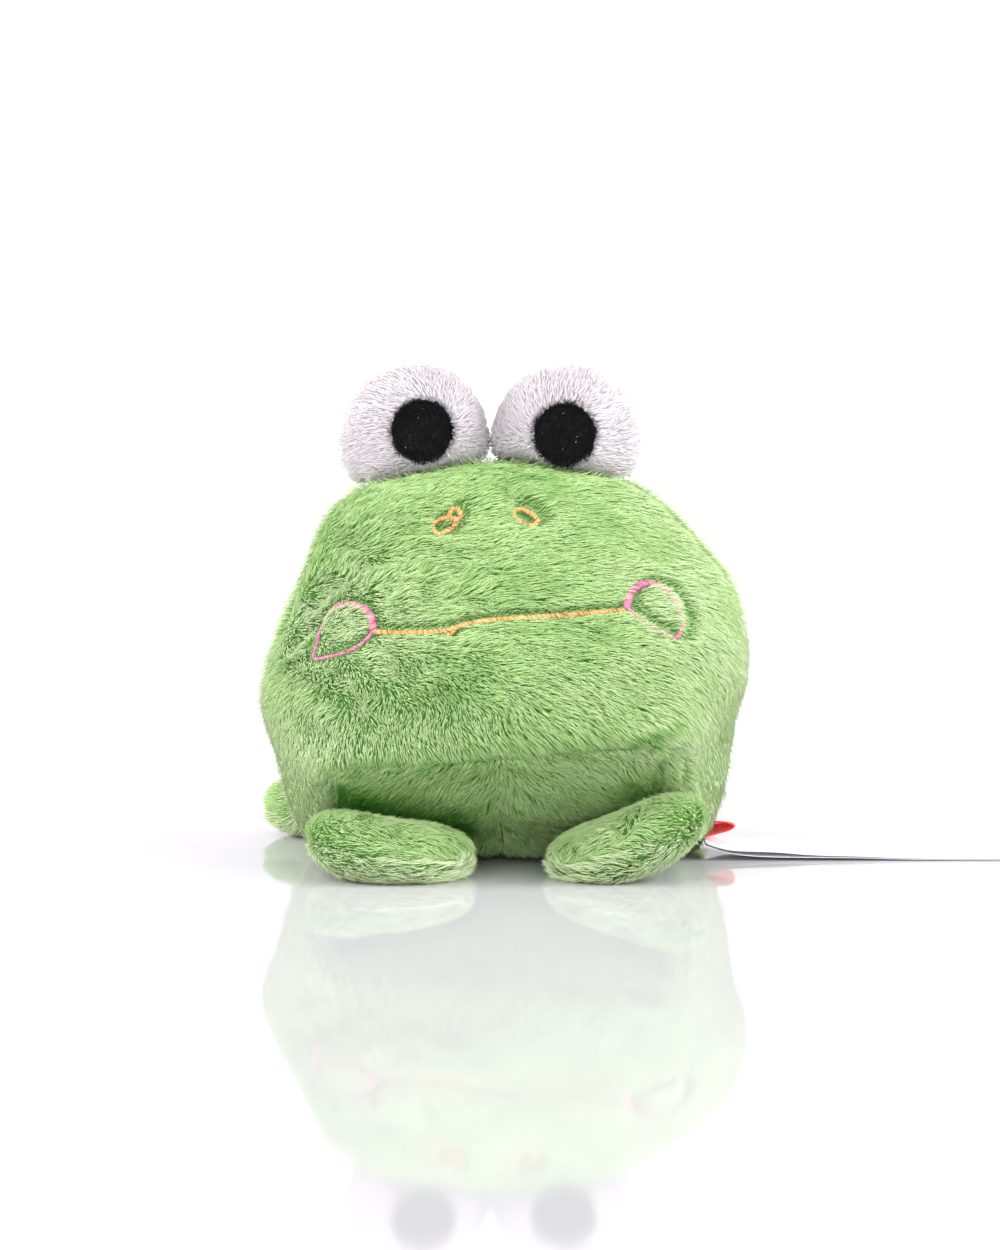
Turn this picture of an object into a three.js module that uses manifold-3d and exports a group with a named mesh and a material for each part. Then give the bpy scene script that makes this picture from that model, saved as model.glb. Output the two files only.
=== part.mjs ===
// A small plush frog that sits on a flat base, sewn from panels of short-pile plush round a soft filling.
// Millimetres, +Z up. It faces -Y, its left side here is -X, and the origin is on the floor under it.
import * as THREE from 'three';
import { mergeVertices } from 'three/addons/utils/BufferGeometryUtils.js';
import Module from 'manifold-3d';

const wasm = await Module();
wasm.setup();

// Driving dimensions of the cloth and its seams
const CLOTH = 2;                // plush cloth with its pile
const SEAM_GAP = 0.4;           // between two panels along a seam
const CLEARANCE = 0.3;          // between a cover and the filling, and under a sewn patch
const SEAT_GAP = 0.4;           // between a foot or an eye and the body that carries it
const SEAM_DIP = 0.8;           // how far a seam draws the stuffed cloth in

// Driving dimensions of the body and head, one stuffed block
const HEAD_HEIGHT = 64.4;       // crest of the head above the floor
const LEFT_HALF_WIDTH = 39.2;   // middle to the widest point of a flank
const RIGHT_HALF_WIDTH = 40.3;
const CHIN_HEIGHT = 19.2;       // chin edge above the floor
const CHIN_REACH = 32.2;        // chin edge ahead of the middle
const CHIN_HALF_WIDTH = 27;     // middle to the corner of the chin
const CHIN_BULGE = 1.6;         // how far the cloth under the chin swells
const BASE_REACH = 4.6;         // front edge of the base ahead of the middle
const BACK_REACH = 34.5;        // furthest point of the back behind the middle
const CREST_SETBACK = 9;        // crest behind the middle
const FLANK_LEAD = 3.5;         // widest line of the flanks, ahead of the middle
const HEAD_ROLL = 4.4;          // degrees that the stuffed face leans to the left

// Driving dimensions of the eyes
const EYE_RADIUS = 11.3;
const EYE_HALF_THICKNESS = 6.4;
const EYE_RISE = 2.8;           // eye centre above the crest
const EYE_SETBACK = 13;         // eye centre behind the middle
const LEFT_EYE_OFFSET = 13.8;   // eye centre to the middle
const RIGHT_EYE_OFFSET = 10.6;
const EYE_YAW = 6;              // degrees that each eye turns towards the other
const EYE_TILT = 8;             // degrees that an eye nods each way
const EYE_HINGE_DEPTH = 2.9;    // sewn edge of an eye below the crest
const PUPIL_RADIUS = 5.1;
const PUPIL_THICKNESS = 0.9;
const PUPIL_RISE = 2;           // pupil centre above the eye centre
const PUPIL_SHIFT = 0.5;        // pupil centre to the right of the eye centre

// Driving dimensions of the feet
const FRONT_FOOT_LENGTH = 26;
const FRONT_FOOT_DEPTH = 24;
const FRONT_FOOT_HEIGHT = 11.4;
const FRONT_FOOT_LEAD = 22.4;   // foot centre ahead of the middle
const LEFT_FRONT_OFFSET = 17.2; // foot centre to the middle
const RIGHT_FRONT_OFFSET = 19.9;
const LEFT_FRONT_TILT = 5;      // degrees that the outer end is raised
const RIGHT_FRONT_TILT = 14;
const FRONT_FOOT_LIFT = 4;      // degrees that the foot rises before it meets the chin
const FRONT_FOOT_DROP = 35;     // degrees that it hangs down when the frog is lifted
const FRONT_HINGE_HEIGHT = 2.5; // sewn heel above the floor
const HIND_FOOT_LENGTH = 26;
const HIND_FOOT_DEPTH = 18;
const HIND_FOOT_HEIGHT = 11;
const LEFT_HIND_OFFSET = 26.6;
const RIGHT_HIND_OFFSET = 23.8;
const HIND_FOOT_SETBACK = 26;   // foot centre behind the middle
const LEFT_HIND_SPIN = 15;      // degrees that the outer end points back
const RIGHT_HIND_SPIN = 48;
const HIND_FOOT_LIFT = 8;       // degrees that the foot rises before it meets the flank
const HIND_FOOT_DROP = 25;      // degrees that it hangs down when the frog is lifted
const HIND_HINGE_HEIGHT = 4;    // sewn edge above the floor
const FOOT_PRESS = 0.5;         // how deep a foot is pressed flat by the floor

// Driving dimensions of the embroidery
const THREAD_RADIUS = 0.55;     // half the width of a satin line
const MOUTH_RISE = 20;          // above the chin edge
const MOUTH_HALF_WIDTH = 20.3;
const CHEEK_OFFSET = 25.6;      // cheek centre to the middle
const CHEEK_RISE = 20.1;        // cheek centre above the chin edge
const CHEEK_HALF_WIDTH = 4.4;
const CHEEK_HALF_HEIGHT = 4.2;
const NOSTRIL_DEPTH = 10;       // nostril centre below the crest
const LEFT_NOSTRIL_OFFSET = 8.2;
const RIGHT_NOSTRIL_OFFSET = 4.2;
const NOSTRIL_HALF_LENGTH = 2;
const NOSTRIL_HALF_WIDTH = 1.1;
const NOSTRIL_SLANT = 30;       // degrees

// Driving dimensions of the loop tag and the care labels, sewn into the right flank seam
const TAG_HEIGHT = 5;           // tag centre above the floor
const TAG_LENGTH = 5.4;
const TAG_WIDTH = 10;
const TAG_LOOP_HEIGHT = 2.2;    // between the middles of its two layers
const TAG_THICKNESS = 0.5;
const TAG_SETBACK = 4.5;        // middle of the tag behind the middle of the frog
const LABEL_LENGTH = 60;
const LABEL_WIDTH = 15;
const LABEL_THICKNESS = 0.3;
const LABEL_HEIGHT = 2.6;       // lower label above the floor where it leaves the seam
const LABEL_RISE = 0.65;        // upper label above the lower one at the seam
const LABEL_SETBACK = 2.7;      // middle of the labels behind the middle of the frog
const LABEL_DROP = 60;          // degrees that the labels hang down when the frog is lifted

const degrees = Math.PI / 180;
const UP = new THREE.Vector3(0, 0, 1);
const mix = THREE.MathUtils.lerp;
const clamp = THREE.MathUtils.clamp;

// Colours and finishes
const finish = (color, roughness) => new THREE.MeshStandardMaterial({ color, roughness, metalness: 0 });
const greenPlush = finish(0x93bc76, 0.9);
const paleGreenPlush = finish(0xa3c986, 0.9);
const whitePlush = finish(0xede6e9, 0.9);
const filling = finish(0xf2efe8, 1);
const blackThread = finish(0x1c1b1e, 0.6);
const goldThread = finish(0xe6aa5a, 0.45);
const pinkThread = finish(0xe178aa, 0.45);
const redRibbon = finish(0xcf2f35, 0.5);
const whiteSatin = finish(0xf3f3f6, 0.4);

// Reads a smooth line through hand-chosen pairs of place and value.
function lineThrough(pairs) {
  const last = pairs.length - 1;
  const slopes = pairs.map((pair, i) => {
    const before = pairs[Math.max(i - 1, 0)];
    const after = pairs[Math.min(i + 1, last)];
    return (after[1] - before[1]) / (after[0] - before[0]);
  });
  return (place) => {
    let i = 0;
    while (i < last - 1 && place > pairs[i + 1][0]) i += 1;
    const span = pairs[i + 1][0] - pairs[i][0];
    const t = clamp((place - pairs[i][0]) / span, 0, 1);
    const rise = pairs[i + 1][1] - pairs[i][1];
    const bendIn = slopes[i] * span - rise;
    const bendOut = rise - slopes[i + 1] * span;
    return pairs[i][1] + t * rise + t * (1 - t) * ((1 - t) * bendIn + t * bendOut);
  };
}

// The body's outline: values are shares of the sizes above, read at shares of the height or of the rise
// from the chin to the crest.
const leftFlankShares = lineThrough([
  [0, 0.754], [0.06, 0.826], [0.16, 0.877], [0.25, 0.903], [0.35, 0.938], [0.45, 1], [0.55, 0.96],
  [0.65, 0.904], [0.735, 0.828], [0.81, 0.786], [0.87, 0.737], [0.915, 0.658], [0.94, 0.55],
  [0.967, 0.3], [0.988, 0.14], [1, 0],
]);
const rightFlankShares = lineThrough([
  [0, 0.784], [0.06, 0.858], [0.16, 0.913], [0.25, 0.925], [0.35, 0.955], [0.45, 1], [0.55, 0.975],
  [0.65, 0.943], [0.735, 0.84], [0.81, 0.752], [0.87, 0.675], [0.915, 0.596], [0.94, 0.5],
  [0.967, 0.29], [0.988, 0.14], [1, 0],
]);
const faceSetbackShares = lineThrough([
  [0, 0], [0.1, 0.025], [0.21, 0.11], [0.32, 0.24], [0.44, 0.38], [0.56, 0.51],
  [0.68, 0.615], [0.79, 0.715], [0.88, 0.8], [0.94, 0.87], [1, 1],
]);
const backShares = lineThrough([
  [0, 0.62], [0.06, 0.75], [0.15, 0.89], [0.3, 0.99], [0.42, 1], [0.6, 0.94], [0.75, 0.81],
  [0.88, 0.6], [0.94, 0.46], [0.98, 0.26], [1, 0],
]);
const flankLineShares = lineThrough([
  [0, -0.75], [0.15, -0.2], [0.3, 0], [0.6, 0], [0.78, 0.35], [0.9, 0.8], [1, 1],
]);
const cornerShares = lineThrough([[0, 0.72], [0.45, 0.685], [0.7, 0.66], [1, 0.62]]);
const CROWN_LOW_SHARE = 0.12;   // how far the front curves back at its corner, of the flank's depth
const CROWN_HIGH_SHARE = 0.21;
const CORNER_LIMIT_SHARE = 0.9; // of the flank, past which no corner goes
const CREASE_END_SHARE = 0.12;  // of the rise above the chin, where the corner is smooth again

// A quarter of an oval that is a little squarer than an ellipse, from the flank (0) to the back (1).
const BACK_ROUND_SHARE = 0.89;  // 1 is an ellipse, and less is squarer
const ovalQuarter = (t) => {
  const turn = t * Math.PI / 2;
  return [Math.cos(turn) ** BACK_ROUND_SHARE, Math.sin(turn) ** BACK_ROUND_SHARE];
};

const halfWidthAt = (z, isRight) => isRight
  ? RIGHT_HALF_WIDTH * rightFlankShares(z / HEAD_HEIGHT)
  : LEFT_HALF_WIDTH * leftFlankShares(z / HEAD_HEIGHT);

// The sizes of one half of the level section of the body at a height, before the roll of the head.
function sectionAt(z, isRight) {
  const heightShare = z / HEAD_HEIGHT;
  const riseShare = (z - CHIN_HEIGHT) / (HEAD_HEIGHT - CHIN_HEIGHT);
  const half = halfWidthAt(z, isRight);
  const front = riseShare < 0
    ? -mix(BASE_REACH, CHIN_REACH, z / CHIN_HEIGHT) - CHIN_BULGE * Math.sin(Math.PI * z / CHIN_HEIGHT)
    : -CHIN_REACH + (CHIN_REACH + CREST_SETBACK) * faceSetbackShares(riseShare);
  const back = mix(CREST_SETBACK, BACK_REACH, backShares(heightShare));
  const lineShare = flankLineShares(heightShare);
  const flank = mix(-FLANK_LEAD, CREST_SETBACK, Math.abs(lineShare));
  const crownShare = mix(CROWN_LOW_SHARE, CROWN_HIGH_SHARE, clamp(riseShare * 2, 0, 1));
  const corner = riseShare < 0
    ? Math.min(CHIN_HALF_WIDTH, half * CORNER_LIMIT_SHARE)
    : mix(CHIN_HALF_WIDTH, half * cornerShares(riseShare), clamp(riseShare / CREASE_END_SHARE, 0, 1));
  return {
    half, front, back, flank, corner,
    cornerDepth: front + (flank - front) * crownShare,
    crease: 1 - clamp(riseShare / CREASE_END_SHARE, 0, 1),
  };
}

// Half a section is a curve from the front, at place 0, past the corner and the flank to the back.
const CORNER_PLACE = 1;
const FLANK_PLACE = 2;
const CREASE_TURN = 50;         // degrees that the cloth turns at the corner below the chin
const BULGE_SHARE = 0.55;
function alongSection(section, t) {
  const { half, front, back, flank, corner, cornerDepth, crease } = section;
  if (t <= CORNER_PLACE) return [corner * t, mix(front, cornerDepth, t * t)];
  if (t >= FLANK_PLACE) {
    const [across, deep] = ovalQuarter(t - FLANK_PLACE);
    return [half * across, mix(flank, back, deep)];
  }
  const slope = Math.atan2(2 * (cornerDepth - front), corner) + crease * CREASE_TURN * degrees;
  const reach = (half - corner) * BULGE_SHARE;
  const curve = new THREE.CubicBezierCurve(
    new THREE.Vector2(corner, cornerDepth),
    new THREE.Vector2(corner + reach * Math.cos(slope), cornerDepth + reach * Math.sin(slope)),
    new THREE.Vector2(half, mix(flank, cornerDepth, BULGE_SHARE)),
    new THREE.Vector2(half, flank),
  );
  return curve.getPoint(t - CORNER_PLACE).toArray();
}

// The stuffed face leans: its right side rides up and its left side hangs, least at the floor and the crest.
const rollShares = lineThrough([[0, 0], [0.12, 0.4], [0.28, 1], [0.7, 1], [0.9, 0.35], [1, 0]]);
const rolled = (x, y, z) => new THREE.Vector3(
  x, y, z + x * Math.tan(HEAD_ROLL * degrees) * rollShares(z / HEAD_HEIGHT));

// A skin is a closed surface of cells round a centre. Panels and the filling are cut from it.
class Skin {
  constructor(centre) {
    this.centre = centre;
    this.points = [];
    this.cells = [];
  }

  addPoint(point) {
    return this.points.push(point) - 1;
  }

  addCell(corners, tags) {
    this.cells.push({ corners, ...tags });
  }

  // A point moved towards the centre by a depth, or away from it by a negative one.
  sunk(index, depth, shift) {
    const point = this.points[index].clone();
    if (shift) point.add(shift);
    return point.addScaledVector(this.centre.clone().sub(point).normalize(), depth);
  }

  // The whole skin at a depth, as a closed solid.
  solidAt(depth) {
    const points = this.points.map((point, i) => this.sunk(i, depth));
    return geometryOf(points, this.cells.flatMap(({ corners }) => fan(corners)));
  }

  // The chosen cells as a shell of cloth, drawn back from its seams.
  panel(isWanted) {
    const cells = this.cells.filter(isWanted);
    const edges = new Map();
    for (const { corners } of cells) {
      corners.forEach((from, i) => edges.set(from + '>' + corners[(i + 1) % corners.length], from));
    }
    const border = [...edges.keys()].filter((key) => !edges.has(key.split('>').reverse().join('>')));
    const shifts = new Map();
    for (const key of border) {
      for (const index of key.split('>').map(Number)) {
        if (!shifts.has(index)) shifts.set(index, this.inwards(index, cells));
      }
    }
    const used = [...new Set(cells.flatMap(({ corners }) => corners))];
    const outer = new Map(used.map((index, i) => [index, i]));
    const inner = new Map(used.map((index, i) => [index, i + used.length]));
    const points = [
      ...used.map((index) => this.sunk(index, 0, shifts.get(index))),
      ...used.map((index) => this.sunk(index, CLOTH, shifts.get(index))),
    ];
    const triangles = [];
    for (const { corners } of cells) {
      for (const [a, b, c] of fan(corners)) {
        triangles.push([outer.get(a), outer.get(b), outer.get(c)]);
        triangles.push([inner.get(a), inner.get(c), inner.get(b)]);
      }
    }
    for (const key of border) {
      const [from, to] = key.split('>').map(Number);
      triangles.push([outer.get(to), outer.get(from), inner.get(from)]);
      triangles.push([outer.get(to), inner.get(from), inner.get(to)]);
    }
    return geometryOf(points, triangles);
  }

  // Half the seam gap, from a border point towards the middle of the cells beside it.
  inwards(index, cells) {
    const beside = cells.filter(({ corners }) => corners.includes(index));
    const middle = new THREE.Vector3();
    for (const { corners } of beside) {
      const cell = new THREE.Vector3();
      corners.forEach((corner) => cell.add(this.points[corner]));
      middle.addScaledVector(cell, 1 / corners.length);
    }
    middle.divideScalar(beside.length).sub(this.points[index]);
    return middle.setLength(SEAM_GAP / 2);
  }
}

// The triangles of a flat or nearly flat cell.
function fan(corners) {
  return corners.slice(2).map((corner, i) => [corners[0], corners[i + 1], corner]);
}

function geometryOf(points, triangles) {
  const geometry = new THREE.BufferGeometry().setFromPoints(points);
  geometry.setIndex(triangles.flat());
  geometry.computeVertexNormals();
  return geometry;
}

// Rings of points, low to high or front to back, closed by a pole at the far end.
function addRings(skin, rings, pole, tags) {
  const ids = rings.map((ring) => ring.map((point) => skin.addPoint(point)));
  const count = rings[0].length;
  for (let row = 0; row + 1 < ids.length; row += 1) {
    for (let column = 0; column < count; column += 1) {
      const next = (column + 1) % count;
      const corners = [ids[row][column], ids[row][next], ids[row + 1][next], ids[row + 1][column]];
      skin.addCell(corners, tags(row, column));
    }
  }
  const top = skin.addPoint(pole);
  const lastRing = ids[ids.length - 1];
  lastRing.forEach((id, column) => {
    skin.addCell([id, lastRing[(column + 1) % count], top], tags(ids.length - 1, column));
  });
  return ids;
}

// Booleans between closed geometries
function solidOf(geometry, matrix = new THREE.Matrix4()) {
  const bare = geometry.clone().applyMatrix4(matrix);
  bare.deleteAttribute('normal');
  bare.deleteAttribute('uv');
  const merged = mergeVertices(bare);
  return new wasm.Manifold(new wasm.Mesh({
    numProp: 3,
    vertProperties: new Float32Array(merged.attributes.position.array),
    triVerts: new Uint32Array(merged.index.array),
  }));
}

function cutBy(geometry, cutters) {
  const left = cutters.reduce((solid, cutter) => solid.subtract(cutter), solidOf(geometry));
  const mesh = left.getMesh();
  const cut = new THREE.BufferGeometry();
  cut.setAttribute('position', new THREE.BufferAttribute(mesh.vertProperties, mesh.numProp));
  cut.setIndex(new THREE.BufferAttribute(mesh.triVerts, 1));
  cut.computeVertexNormals();
  return cut;
}

// The body's skin
const FRONT_CELLS = 5;          // from the middle of the front to a corner
const CORNER_CELLS = 4;         // from a corner to the flank seam
const BACK_CELLS = 6;           // from the flank seam to the middle of the back
const CHIN_ROWS = 5;
const faceRowShares = [
  0, 0.08, 0.17, 0.26, 0.35, 0.44, 0.53, 0.62, 0.71, 0.79, 0.86, 0.91, 0.945, 0.975,
];
const HALF_CELLS = FRONT_CELLS + CORNER_CELLS + BACK_CELLS;

const bodyHeights = [
  ...Array.from({ length: CHIN_ROWS }, (_, row) => CHIN_HEIGHT * row / CHIN_ROWS),
  ...faceRowShares.map((share) => mix(CHIN_HEIGHT, HEAD_HEIGHT, share)),
];

function columnPlace(column) {
  if (column <= FRONT_CELLS) return column / FRONT_CELLS;
  if (column <= FRONT_CELLS + CORNER_CELLS) return CORNER_PLACE + (column - FRONT_CELLS) / CORNER_CELLS;
  return FLANK_PLACE + (column - FRONT_CELLS - CORNER_CELLS) / BACK_CELLS;
}

// Seams draw the cloth in: down both flanks, down the middle of the back and under the chin.
function dipAt(column, row) {
  const isFlank = column === FRONT_CELLS + CORNER_CELLS;
  const isMiddle = column === HALF_CELLS || (column === 0 && row < CHIN_ROWS);
  return row > 0 && (isFlank || isMiddle) ? SEAM_DIP : 0;
}

function bodyRing(z, row) {
  const ring = [];
  for (let i = 0; i < 2 * HALF_CELLS; i += 1) {
    const column = i <= HALF_CELLS ? i : 2 * HALF_CELLS - i;
    const side = i <= HALF_CELLS ? 1 : -1;
    const section = sectionAt(z, side > 0);
    const middle = (section.front + section.back) / 2;
    const [x, y] = alongSection(section, columnPlace(column));
    const inwards = new THREE.Vector2(-x, middle - y).setLength(dipAt(column, row));
    ring.push(rolled(side * (x + inwards.x), y + inwards.y, z));
  }
  return ring;
}

const CENTRE_HEIGHT_SHARE = 0.42; // place of the point that all cloth thicknesses aim at
const CENTRE_DEPTH_SHARE = 0.087;
function makeBodySkin() {
  const centre = new THREE.Vector3(0, BACK_REACH * CENTRE_DEPTH_SHARE, HEAD_HEIGHT * CENTRE_HEIGHT_SHARE);
  const skin = new Skin(centre);
  const crest = new THREE.Vector3(0, CREST_SETBACK, HEAD_HEIGHT);
  const tags = (row, i) => {
    const column = i < HALF_CELLS ? i : 2 * HALF_CELLS - 1 - i;
    const isBack = column >= FRONT_CELLS + CORNER_CELLS;
    const isChin = column < FRONT_CELLS && row < CHIN_ROWS;
    return { panel: isBack ? 'back' : isChin ? 'chin' : 'face', side: i < HALF_CELLS ? 'right' : 'left' };
  };
  const ids = addRings(skin, bodyHeights.map(bodyRing), crest, tags);
  const rim = ids[0];
  const baseMiddle = new THREE.Vector3();
  rim.forEach((id) => baseMiddle.addScaledVector(skin.points[id], 1 / rim.length));
  const under = skin.addPoint(baseMiddle);
  rim.forEach((id, i) => skin.addCell([under, rim[(i + 1) % rim.length], id], { panel: 'base' }));
  return skin;
}

const bodySkin = makeBodySkin();
const grownBody = bodySkin.solidAt(-SEAT_GAP);

// A point on the face at a distance across and a height, before the roll, and the way out of the face there.
const HALVINGS = 30;            // of the search along a section
function onFace(x, z, out = 0) {
  const place = (across, high) => {
    const section = sectionAt(high, across > 0);
    let low = 0;
    let far = FLANK_PLACE;
    for (let i = 0; i < HALVINGS; i += 1) {
      const middle = (low + far) / 2;
      if (alongSection(section, middle)[0] < Math.abs(across)) low = middle;
      else far = middle;
    }
    return rolled(across, alongSection(section, low)[1], high);
  };
  const step = CLEARANCE;
  const point = place(x, z);
  const across = place(x + step, z).sub(place(x - step, z));
  const upwards = place(x, z + step).sub(place(x, z - step));
  return point.addScaledVector(across.cross(upwards).normalize(), out);
}

// A line of satin stitches: a round cord of thread along a curve that lies on the cloth.
const THREAD_SIDES = 6;
function satinLine(points, steps) {
  const corners = Array.from({ length: THREAD_SIDES }, (_, i) => {
    const turn = 2 * Math.PI * i / THREAD_SIDES;
    return new THREE.Vector2(Math.cos(turn), Math.sin(turn)).multiplyScalar(THREAD_RADIUS);
  });
  const path = new THREE.CatmullRomCurve3(points);
  return new THREE.ExtrudeGeometry(new THREE.Shape(corners), { steps, extrudePath: path });
}

// An outline in satin stitches round an oval on the face, open by a stitch where it starts.
function satinOval({ across, height, halfWidth, halfHeight, slant, start }, steps) {
  const opening = 2 * CLEARANCE / Math.min(halfWidth, halfHeight);
  const points = [];
  for (let i = 0; i <= steps; i += 1) {
    const turn = start + opening / 2 + (2 * Math.PI - opening) * i / steps;
    const [u, v] = [halfWidth * Math.cos(turn), halfHeight * Math.sin(turn)];
    const x = across + u * Math.cos(slant) - v * Math.sin(slant);
    const z = height + u * Math.sin(slant) + v * Math.cos(slant);
    points.push(onFace(x, z, CLEARANCE + THREAD_RADIUS));
  }
  return satinLine(points, steps);
}

// A stuffed pad sewn from two covers that meet at its rim: an oval, a little squarer than an ellipsoid.
const PAD_COLUMNS = 18;
const PAD_ROWS = 4;             // from the rim to the middle of one cover
const PAD_ROUND_SHARE = 0.87;
function makePad({ halfLength, halfDepth, halfHeight, roundShare = PAD_ROUND_SHARE }, shape = (p) => p) {
  const skin = new Skin(new THREE.Vector3());
  const power = (value) => Math.sign(value) * Math.abs(value) ** roundShare;
  const ring = (turnUp) => Array.from({ length: PAD_COLUMNS }, (_, column) => {
    const turn = 2 * Math.PI * column / PAD_COLUMNS;
    return shape(new THREE.Vector3(
      halfLength * power(Math.cos(turn)) * power(Math.cos(turnUp)),
      halfDepth * power(Math.sin(turn)) * power(Math.cos(turnUp)),
      halfHeight * power(Math.sin(turnUp)),
    ));
  });
  const rings = [];
  for (let row = 1 - PAD_ROWS; row < PAD_ROWS; row += 1) rings.push(ring(row / PAD_ROWS * Math.PI / 2));
  const tags = (row) => ({ panel: row < PAD_ROWS - 1 ? 'lower' : 'upper' });
  const ids = addRings(skin, rings, shape(new THREE.Vector3(0, 0, halfHeight)), tags);
  const bottom = skin.addPoint(shape(new THREE.Vector3(0, 0, -halfHeight)));
  ids[0].forEach((id, i) => {
    skin.addCell([bottom, ids[0][(i + 1) % PAD_COLUMNS], id], { panel: 'lower' });
  });
  return skin;
}

// The scene graph
const frog = new THREE.Group();
frog.name = 'plush_frog';

function addPiece(group, name, geometry, material) {
  const mesh = new THREE.Mesh(geometry, material);
  mesh.name = name;
  group.add(mesh);
  return mesh;
}

function addBody() {
  const group = new THREE.Group();
  const panel = (wanted, side) => bodySkin.panel(
    (cell) => cell.panel === wanted && (!side || cell.side === side));
  addPiece(group, 'body_filling', bodySkin.solidAt(CLOTH + CLEARANCE), filling);
  addPiece(group, 'face_panel', panel('face'), greenPlush);
  for (const side of ['left', 'right']) {
    addPiece(group, side + '_chin_panel', panel('chin', side), greenPlush);
    addPiece(group, side + '_back_panel', panel('back', side), paleGreenPlush);
  }
  addPiece(group, 'base_panel', panel('base'), greenPlush);
  frog.add(group);
}

const MOUTH_STEPS = 14;
const CHEEK_STEPS = 14;
const NOSTRIL_STEPS = 10;
function addEmbroidery() {
  const group = new THREE.Group();
  const mouth = [];
  for (let i = 0; i <= MOUTH_STEPS; i += 1) {
    const x = mix(-MOUTH_HALF_WIDTH, MOUTH_HALF_WIDTH, i / MOUTH_STEPS);
    mouth.push(onFace(x, CHIN_HEIGHT + MOUTH_RISE, CLEARANCE + THREAD_RADIUS));
  }
  addPiece(group, 'mouth_stitching', satinLine(mouth, MOUTH_STEPS), goldThread);
  const cheekOut = Math.max(CHEEK_OFFSET, MOUTH_HALF_WIDTH + CHEEK_HALF_WIDTH + THREAD_RADIUS + CLEARANCE);
  const nostrilOffsets = { left: -LEFT_NOSTRIL_OFFSET, right: RIGHT_NOSTRIL_OFFSET };
  for (const [side, sign] of [['left', -1], ['right', 1]]) {
    const cheek = {
      across: sign * cheekOut, height: CHIN_HEIGHT + CHEEK_RISE, start: -Math.PI / 2,
      halfWidth: CHEEK_HALF_WIDTH, halfHeight: CHEEK_HALF_HEIGHT, slant: 0,
    };
    addPiece(group, side + '_cheek_stitching', satinOval(cheek, CHEEK_STEPS), pinkThread);
    const nostril = {
      across: nostrilOffsets[side], height: HEAD_HEIGHT - NOSTRIL_DEPTH, start: 0,
      halfWidth: NOSTRIL_HALF_LENGTH, halfHeight: NOSTRIL_HALF_WIDTH, slant: -sign * NOSTRIL_SLANT * degrees,
    };
    addPiece(group, side + '_nostril_stitching', satinOval(nostril, NOSTRIL_STEPS), goldThread);
  }
  frog.add(group);
}

// Copies of the grown body as a piece sees it while it turns about a line, to clear its way.
function bodyAsSeenFrom(group, pivot, axis, angles) {
  group.updateMatrixWorld(true);
  const toGroup = group.matrixWorld.clone().invert();
  return angles.map((angle) => {
    const turn = new THREE.Matrix4().makeTranslation(pivot)
      .multiply(new THREE.Matrix4().makeRotationAxis(axis, -angle * degrees))
      .multiply(new THREE.Matrix4().makeTranslation(pivot.clone().negate()));
    return solidOf(grownBody, toGroup.clone().multiply(turn));
  });
}

// An eye is a round pad on edge. Its own frame has the white cover up and the green one down.
function addEye(side, offset, sign) {
  const group = new THREE.Group();
  group.position.set(offset, EYE_SETBACK, HEAD_HEIGHT + EYE_RISE);
  group.rotation.set(Math.PI / 2, 0, sign * EYE_YAW * degrees, 'ZYX');
  const pad = makePad({
    halfLength: EYE_RADIUS, halfDepth: EYE_RADIUS, halfHeight: EYE_HALF_THICKNESS, roundShare: 1,
  });
  const pivot = new THREE.Vector3(offset, EYE_SETBACK, HEAD_HEIGHT - EYE_HINGE_DEPTH);
  const head = bodyAsSeenFrom(group, pivot, new THREE.Vector3(1, 0, 0), [-EYE_TILT, 0, EYE_TILT]);
  const cover = (half) => cutBy(pad.panel((cell) => cell.panel === half), head);
  addPiece(group, side + '_eye_front_cover', cover('upper'), whitePlush);
  addPiece(group, side + '_eye_back_cover', cover('lower'), greenPlush);
  addPiece(group, side + '_eye_filling', cutBy(pad.solidAt(CLOTH + CLEARANCE), head), filling);
  addPiece(group, side + '_pupil_patch', pupilPatch(), blackThread);
  frog.add(group);
}

// The embroidered pupil: a thin round patch that follows the eye's crown.
const PUPIL_RINGS = 3;
function pupilPatch() {
  const crown = (x, y, out) => {
    const high = Math.sqrt(1 - (x * x + y * y) / EYE_RADIUS ** 2) * EYE_HALF_THICKNESS;
    const way = new THREE.Vector3(x / EYE_RADIUS ** 2, y / EYE_RADIUS ** 2, high / EYE_HALF_THICKNESS ** 2);
    return new THREE.Vector3(x, y, high).addScaledVector(way.normalize(), out);
  };
  const levels = [
    ...Array.from({ length: PUPIL_RINGS }, (_, i) => [(i + 1) / PUPIL_RINGS, CLEARANCE]),
    ...Array.from({ length: PUPIL_RINGS }, (_, i) => [1 - i / PUPIL_RINGS, CLEARANCE + PUPIL_THICKNESS]),
  ];
  const rings = levels.map(([share, out]) => Array.from({ length: PAD_COLUMNS }, (_, column) => {
    const turn = 2 * Math.PI * column / PAD_COLUMNS;
    const [x, y] = [Math.cos(turn), Math.sin(turn)].map((value) => value * PUPIL_RADIUS * share);
    return crown(x + PUPIL_SHIFT, y + PUPIL_RISE, out);
  }));
  const skin = new Skin(new THREE.Vector3());
  const top = crown(PUPIL_SHIFT, PUPIL_RISE, CLEARANCE + PUPIL_THICKNESS);
  const ids = addRings(skin, rings, top, () => ({}));
  const under = skin.addPoint(crown(PUPIL_SHIFT, PUPIL_RISE, CLEARANCE));
  ids[0].forEach((id, i) => skin.addCell([under, ids[0][(i + 1) % PAD_COLUMNS], id], {}));
  return skin.solidAt(0);
}

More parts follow.
